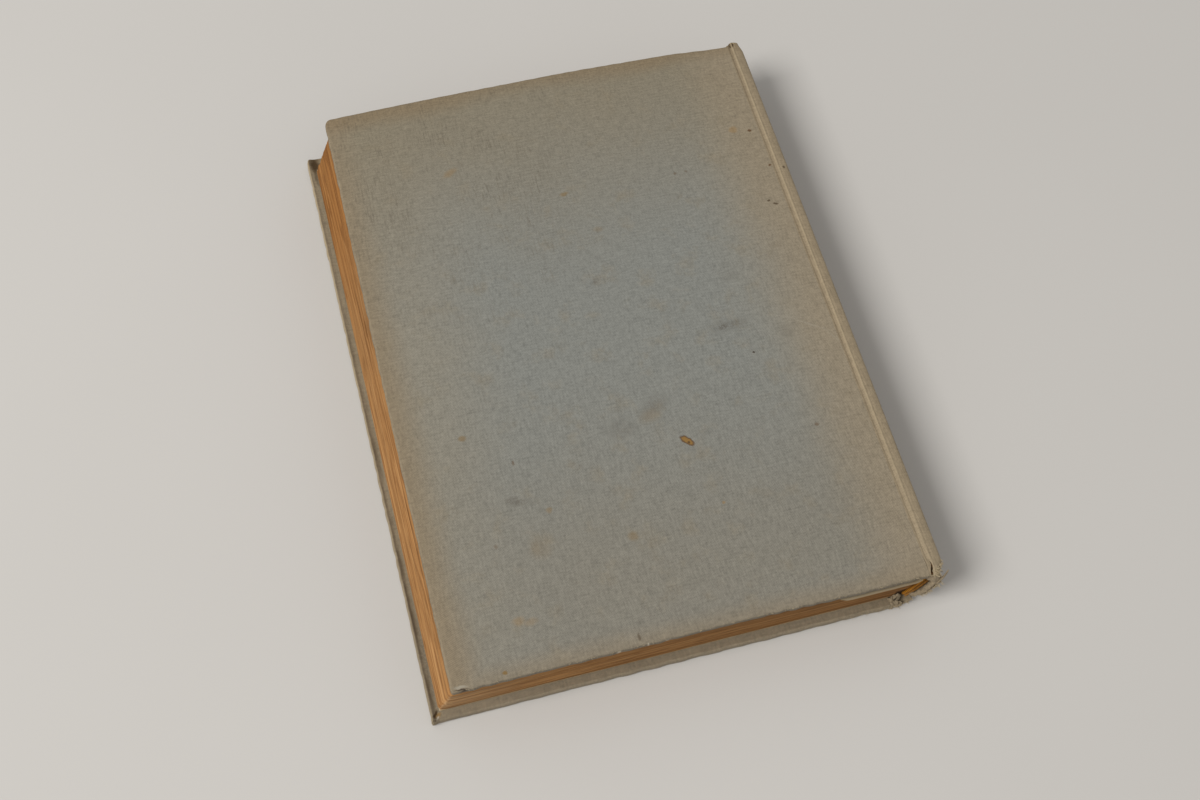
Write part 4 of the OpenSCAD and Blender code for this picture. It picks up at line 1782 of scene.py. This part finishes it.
@dataclass
class Spine:
    """Rounded spine: cloth torn at the tail and turned in at the head, its card, bands and loose threads."""

    sizes: BookSizes
    cloth: bpy.types.Material
    card: bpy.types.Material
    band: bpy.types.Material
    thread: bpy.types.Material
    arc_steps: int = 64
    rows: int = 130
    fold_steps: int = 6
    torn_len: float = 9.0
    loose: float = 0.7
    sag_len: float = 12.0
    band_r: float = 0.58
    band_in: float = 1.9
    cap_sag: float = 0.9
    stitches: int = 30
    flap_reach: float = 3.35
    flap_upper: float = 2.9
    flap_lower: float = 1.05
    tongue: tuple[tuple[float, float, float], ...] = (
        (101.9, -126.3, 19.6), (102.9, -126.2, 22.0), (103.8, -125.9, 23.6), (104.9, -125.2, 24.6),
        (105.9, -124.4, 24.9))
    tongue_strands: tuple[tuple[float, float], ...] = ((0.0, 0.46), (0.35, 0.36), (-0.3, 0.3))
    tongue_tip: float = 0.18
    knot_x: float = 103.4
    edge_threads: int = 150
    knot_threads: int = 44

    def angle_at(self, radius: float, z: float) -> float:
        """Angle about the spine's centre at which an arc of a radius reaches a height."""
        s = self.sizes
        return math.atan2(z - s.spine_c[1], float(s.spine_x(radius, z)) - s.spine_c[0])

    def on_arc(self, radius: Any, angle: np.ndarray) -> tuple[np.ndarray, np.ndarray]:
        """X and Z of places round the spine's centre."""
        centre = self.sizes.spine_c
        return centre[0] + radius * np.cos(angle), centre[1] + radius * np.sin(angle)

    def torn_edge(self, share: np.ndarray) -> np.ndarray:
        """Y of the torn tail edge.

        Args:
            share: Place across the spine, from the front joint to the back joint.

        Returns:
            One Y for each place.
        """
        s = self.sizes
        jag = Wander(41, 0.12, 9)(share) * 0.35 + Wander(42, 0.04, 9)(share) * 0.3
        bite = 1.7 * ease(share, 0.2, 0.08) + s.torn_bite * ease(share, 0.7, 0.95)
        return s.tail_y - s.overhang + jag + bite

    def build(self) -> list[bpy.types.Object]:
        """Makes the spine's pieces.

        Returns:
            The cloth, its card, the two bands, the torn flap and the threads.
        """
        s = self.sizes
        outer = s.spine_cloth_r + s.cloth_t
        a0, a1 = self.angle_at(outer, s.spine_z0), self.angle_at(outer, s.spine_z1)
        share = np.linspace(0, 1, self.arc_steps + 1)
        angle = a0 + (a1 - a0) * share
        edge = self.torn_edge(share)
        bend = (s.cloth_t * 2 + s.inlay_t) / 2
        crown = s.head_y - s.cap_gap - bend
        whole = s.tail_y + self.torn_len
        flat = np.full_like(share, outer)
        rows: list[tuple[np.ndarray, np.ndarray]] = []
        for step in np.linspace(0, 1, 14)[:-1]:
            y = edge + (whole - edge) * step
            crease = 0.4 + 0.6 * np.sin(share * 17) * np.sin(share * 41)
            rows.append((flat + self.loose * bell(y - s.tail_y + 1.2, 2.2) * crease, y))
        sag = self.cap_sag * ease(share, 1.0, 0.8)
        for y in np.linspace(whole, crown, self.rows):
            rows.append((flat, y - sag * ease(y, crown - self.sag_len, crown)))
        for step in range(1, self.fold_steps + 1):
            turn = math.pi * step / self.fold_steps
            rows.append((flat - bend * (1 - math.cos(turn)), crown - sag + bend * math.sin(turn)))
        for y in np.linspace(crown, s.head_y - s.turn_in, 8)[1:]:
            rows.append((flat - 2 * bend, y - sag * ease(y, crown - self.sag_len, crown)))
        squeeze = ease(share, 0.4, 1.0)
        layers = []
        for radius, y in rows:
            x, z = self.on_arc(radius, angle)
            layers.append(np.column_stack([x - s.pinch(y) * squeeze, y, z]))
        grid = np.array(layers)
        skin = Skin()
        skin.add_grid(grid)
        cloth = skin.thick(0.0, s.cloth_t * 0.95).to_object("spine_cover_cloth", self.cloth, sharp=60)
        settle(cloth, BLOCK, "spine_cloth")
        return [cloth, self.inlay(angle, crown - sag, squeeze), self.make_band("tail"),
                self.make_band("head"), self.flap(), self.threads(grid[0], angle)]

    def inlay(self, angle: np.ndarray, top: np.ndarray, squeeze: np.ndarray) -> bpy.types.Object:
        """Makes the card inside the cloth, which ends under the fold at the head.

        Args:
            angle: Angles about the spine's centre, from the front joint to the back joint.
            top: Y of its head end at each angle.
            squeeze: Share of the cap's pinch at each angle.

        Returns:
            The piece.
        """
        s = self.sizes
        foot = float(mm_box("spine_inlay")[0][1])
        course = np.linspace(0, 1, self.rows // 2)[:, None]
        y = foot * (1 - course) + top[None, :] * course
        x, z = self.on_arc(s.spine_cloth_r, angle)
        skin = Skin()
        skin.add_grid(np.stack([x - s.pinch(y) * squeeze, y, z + 0 * y], -1))
        card = skin.thick(0.0, s.inlay_t).to_object("spine_card", self.card)
        return settle(card, BLOCK, "spine_inlay")

    def make_band(self, end: str) -> bpy.types.Object:
        """Makes a stitched band round the spine end of the pages.

        Args:
            end: Which end, tail or head.

        Returns:
            The piece.
        """
        s = self.sizes
        radius = s.spine_r - self.band_in
        a0, a1 = self.angle_at(radius, s.block_z0), self.angle_at(radius, s.block_z1)
        share = np.linspace(0.1, 0.95, self.stitches * 8 + 1)
        angle = a0 + (a1 - a0) * share
        sign = -1 if end == "tail" else 1
        base = s.block_y0 if end == "tail" else s.block_y1
        x, z = self.on_arc(radius, angle)
        path = np.column_stack([x, np.full_like(angle, base + sign * self.band_r * 0.9), z])
        swell = self.band_r * (0.82 + 0.18 * np.abs(np.sin(share * math.pi * self.stitches)))
        if end == "tail":
            swell = swell * (1.15 - 0.55 * ease(share, 0.4, 0.95))
        skin = Skin()
        skin.add_tube(path, swell, 10)
        return settle(skin.to_object(f"{end}_silk_band", self.band), BLOCK, f"{end}_band")

    def flap(self) -> bpy.types.Object:
        """Makes the torn end of the cloth that hangs over the upper end of the tail band.

        Returns:
            The piece.
        """
        s = self.sizes
        outer = s.spine_cloth_r + s.cloth_t
        top, low = s.spine_z1 + 2.2, s.spine_z0 + 0.6
        a0, a1 = self.angle_at(outer, top), self.angle_at(outer, low)
        down = np.linspace(0, 1, 64)[:, None]
        over = np.linspace(0, 1, 12)[None, :]
        angle = a0 + (a1 - a0) * down
        ragged = Wander(51, 0.16, 9)(down) * 0.45 + Wander(53, 0.05, 9)(down) * 0.2
        inner = outer - self.flap_reach - self.flap_upper * ease(down, 0.34, 0.16)
        inner = inner + self.flap_lower * ease(down, 0.6, 1.0) + ragged
        radius = inner + (outer - 0.15 - 1.8 * ease(down, 0.2, 0.0) - inner) * over
        x, z = self.on_arc(radius, angle)
        crumple = Wander(52, 2.6, 9)(x, z) * 0.32 + Wander(54, 1.0, 9)(x, z) * 0.12
        y = s.tail_y - 1.2 + crumple + 0.5 * ease(over, 0.6, 1.0) + 1.0 * ease(over, 0.5, 0.0)
        y = y + 1.3 * ease(down, 0.72, 1.0)
        skin = Skin()
        skin.add_grid(np.stack([x, y, z], -1))
        skin = skin.thick(0.15, 0.15)
        route = np.array(self.tongue)
        run = np.linspace(0, 1, len(route))[:, None]
        for shift, thick in self.tongue_strands:
            twist = run * np.array([0.3 * shift, 0.4 * shift, -0.8 * shift])
            strand = route + np.array([0, shift * 0.5, shift * 0.8]) - twist
            skin.add_tube(strand, np.linspace(thick, self.tongue_tip, len(route)), 6)
        return settle(skin.to_object("spine_tail_flap", self.cloth), BLOCK)

    def threads(self, edge: np.ndarray, angle: np.ndarray) -> bpy.types.Object:
        """Makes the loose threads of the torn tail.

        Args:
            edge: Points of the torn edge.
            angle: Their angles about the spine's centre.

        Returns:
            The piece.
        """
        s = self.sizes
        draw = np.random.default_rng(17)
        skin = Skin()
        spare = len(edge) // 7
        at = draw.integers(spare, len(edge) - spare, self.edge_threads)
        out = np.column_stack([np.cos(angle[at]), 0 * angle[at], np.sin(angle[at])])
        roots = edge[at] + np.array([0, 0.5, 0]) - out * 0.2
        add_strands(skin, draw, roots, (-0.6, -1.0, -0.7), (0.7, -0.4, 0.6), (0.5, 2.0))
        corner = np.array([self.knot_x, s.tail_y + 3.2, s.spine_z1 - 1.4])
        knot = corner + draw.normal(0, 1, (self.knot_threads, 3)) * np.array([0.1, 1.1, 0.5])
        add_strands(skin, draw, knot, (0.3, -0.8, -0.9), (1.0, 0.5, -0.1), (0.4, 1.3))
        return settle(skin.to_object("spine_tail_threads", self.thread), BLOCK)


@dataclass
class Studio:
    """Pale floor, soft light and the camera at the photograph's angle."""

    focus: tuple[float, float, float] = (5.05, -14.25, 0.0)
    azimuth: float = -18.40
    elevation: float = 63.13
    roll: float = 3.71
    distance: float = 614.8
    lens: float = 46.17
    sensor: float = 36.0
    floor_half: float = 4.0
    floor_gap: float = 1e-4
    sky: float = 0.45
    lamp_place: tuple[float, float, float] = (-2.0, -0.45, 2.4)
    lamp_aim: tuple[float, float, float] = (0.0, 0.0, 0.015)
    lamp_size: float = 1.3
    lamp_power: float = 74.0

    def build(self) -> None:
        """Makes the floor, the lights and the camera."""
        scene = bpy.context.scene
        scene.view_settings.view_transform = "Standard"
        self.floor(scene)
        self.world(scene)
        self.lamp(scene)
        self.camera(scene)

    def floor(self, scene: bpy.types.Scene) -> None:
        """Makes the floor just below the book.

        Args:
            scene: Scene that it lies in.
        """
        mesh = bpy.data.meshes.new("floor")
        half, gap = self.floor_half, self.floor_gap
        corners = [(-half, -half, -gap), (half, -half, -gap), (half, half, -gap), (-half, half, -gap)]
        mesh.from_pydata(corners, [], [[0, 1, 2, 3]])
        mesh.materials.append(FloorFinish().material())
        floor = bpy.data.objects.new("floor", mesh)
        scene.collection.objects.link(floor)

    def world(self, scene: bpy.types.Scene) -> None:
        """Sets an even dim sky.

        Args:
            scene: Scene that it lights.
        """
        world = bpy.data.worlds.new("studio")
        world.use_nodes = True
        back = world.node_tree.nodes["Background"]
        back.inputs["Color"].default_value = (1.0, 1.0, 1.0, 1.0)
        back.inputs["Strength"].default_value = self.sky
        scene.world = world

    def lamp(self, scene: bpy.types.Scene) -> None:
        """Makes one soft square lamp that faces the book.

        Args:
            scene: Scene that it lights.
        """
        light = bpy.data.lights.new("key", "AREA")
        light.size = self.lamp_size
        light.energy = self.lamp_power
        lamp = bpy.data.objects.new("key", light)
        lamp.location = self.lamp_place
        lamp.rotation_mode = "QUATERNION"
        aim = Vector(self.lamp_aim) - Vector(self.lamp_place)
        lamp.rotation_quaternion = aim.to_track_quat("-Z", "Y")
        scene.collection.objects.link(lamp)

    def camera(self, scene: bpy.types.Scene) -> None:
        """Makes the camera.

        Args:
            scene: Scene that it looks at.
        """
        turn, rise, tip = (math.radians(a) for a in (self.azimuth, self.elevation, self.roll))
        back = Vector((math.sin(turn) * math.cos(rise), -math.cos(turn) * math.cos(rise), math.sin(rise)))
        right = (-back).cross(Vector((0, 0, 1))).normalized()
        up = right.cross(-back)
        right, up = right * math.cos(tip) + up * math.sin(tip), up * math.cos(tip) - right * math.sin(tip)
        data = bpy.data.cameras.new("photo_view")
        data.lens = self.lens
        data.sensor_width = self.sensor
        data.sensor_fit = "HORIZONTAL"
        data.clip_start, data.clip_end = 0.01, 20.0
        camera = bpy.data.objects.new("photo_view", data)
        place = (Vector(self.focus) + back * self.distance) * MM
        axes = Matrix((right, up, back)).transposed().to_4x4()
        camera.matrix_world = Matrix.Translation(place) @ axes
        scene.collection.objects.link(camera)
        scene.camera = camera


def main() -> None:
    """Builds the book piece by piece."""
    logging.basicConfig(level=logging.INFO, format="%(name)s: %(message)s")
    sizes = BookSizes()
    inside = tint(142, 128, 105)
    toned = tint(153, 137, 112)
    back_cloth = ClothFinish("back_cloth_weave", sizes.lean, spots=BACK_SPOTS,
                             shade_below=sizes.book_t - 0.15).material()
    front_cloth = ClothFinish("front_cloth_weave", 0.0, edge=inside, pale=inside, hinge=inside,
                              tail=tint(139, 127, 108), head=tint(140, 126, 103), spots=FRONT_SPOTS,
                              dirt_and_shade_line=0.6).material()
    spine_cloth = ClothFinish("spine_cloth_weave", 0.0, centre=toned, pale=toned, edge=toned, hinge=toned,
                              head=tint(149, 132, 106), tail=tint(153, 138, 113), ochre=tint(148, 129, 100),
                              spots=SPINE_SPOTS, worn_and_lit_ridge=float(sizes.back_axis[0]) - 1.0).material()
    board = FibreFinish("grey_board", Coord.REST, tint(140, 124, 98), tint(112, 96, 72), (1.2, 1.2, 3.0))
    card = FibreFinish("brown_card", Coord.REST, tint(134, 104, 68), tint(104, 76, 46), (0.8, 0.4, 0.8))
    mull = FibreFinish("glued_mull", Coord.SOLID, tint(172, 120, 58), tint(120, 78, 34), (0.8, 0.8, 0.8),
                       weave=1.2)
    fibre = FibreFinish("loose_thread", Coord.REST, tint(184, 168, 138), tint(126, 109, 82), (1.4, 1.4, 1.4))
    thread = fibre.material()
    edges = PageFinish(tail_y=sizes.block_y0, base=sizes.block_z0, height=sizes.block_z1 - sizes.block_z0,
                       sections=sizes.sections).material()
    pasted = PaperFinish("pasted_endpaper", Coord.REST)
    paper = pasted.material()
    leaf = replace(pasted, name="free_endpaper", toned=tint(186, 168, 134),
                   bare_end=sizes.block_y0).material()
    solid_board = replace(board, name="hidden_board", coord=Coord.SOLID).material()
    solid_paper = replace(pasted, name="hidden_endpaper", coord=Coord.SOLID).material()
    silk = BandFinish("band_silk", (float(sizes.spine_c[0]), float(sizes.spine_c[1])), 270.0).material()
    pieces = Cover(Side.FRONT, sizes, front_cloth, solid_board, solid_paper, thread, tail_r=0.8, head_r=2.4,
                   edge_r=0.8).build()
    pieces += Cover(Side.BACK, sizes, back_cloth, board.material(), paper, thread).build()
    for side in Side:
        pieces += Joint(side, sizes, spine_cloth, paper, thread).build()
    pieces += TextBlock(sizes, edges, leaf).build()
    pieces += Spine(sizes, spine_cloth, card.material(), silk, thread).build()
    dress("spine_lining", mull.material())
    Studio().build()
    for piece in pieces:
        LOG.info("%s: %d faces", piece.name, len(piece.data.polygons))


if __name__ == "__main__":
    main()
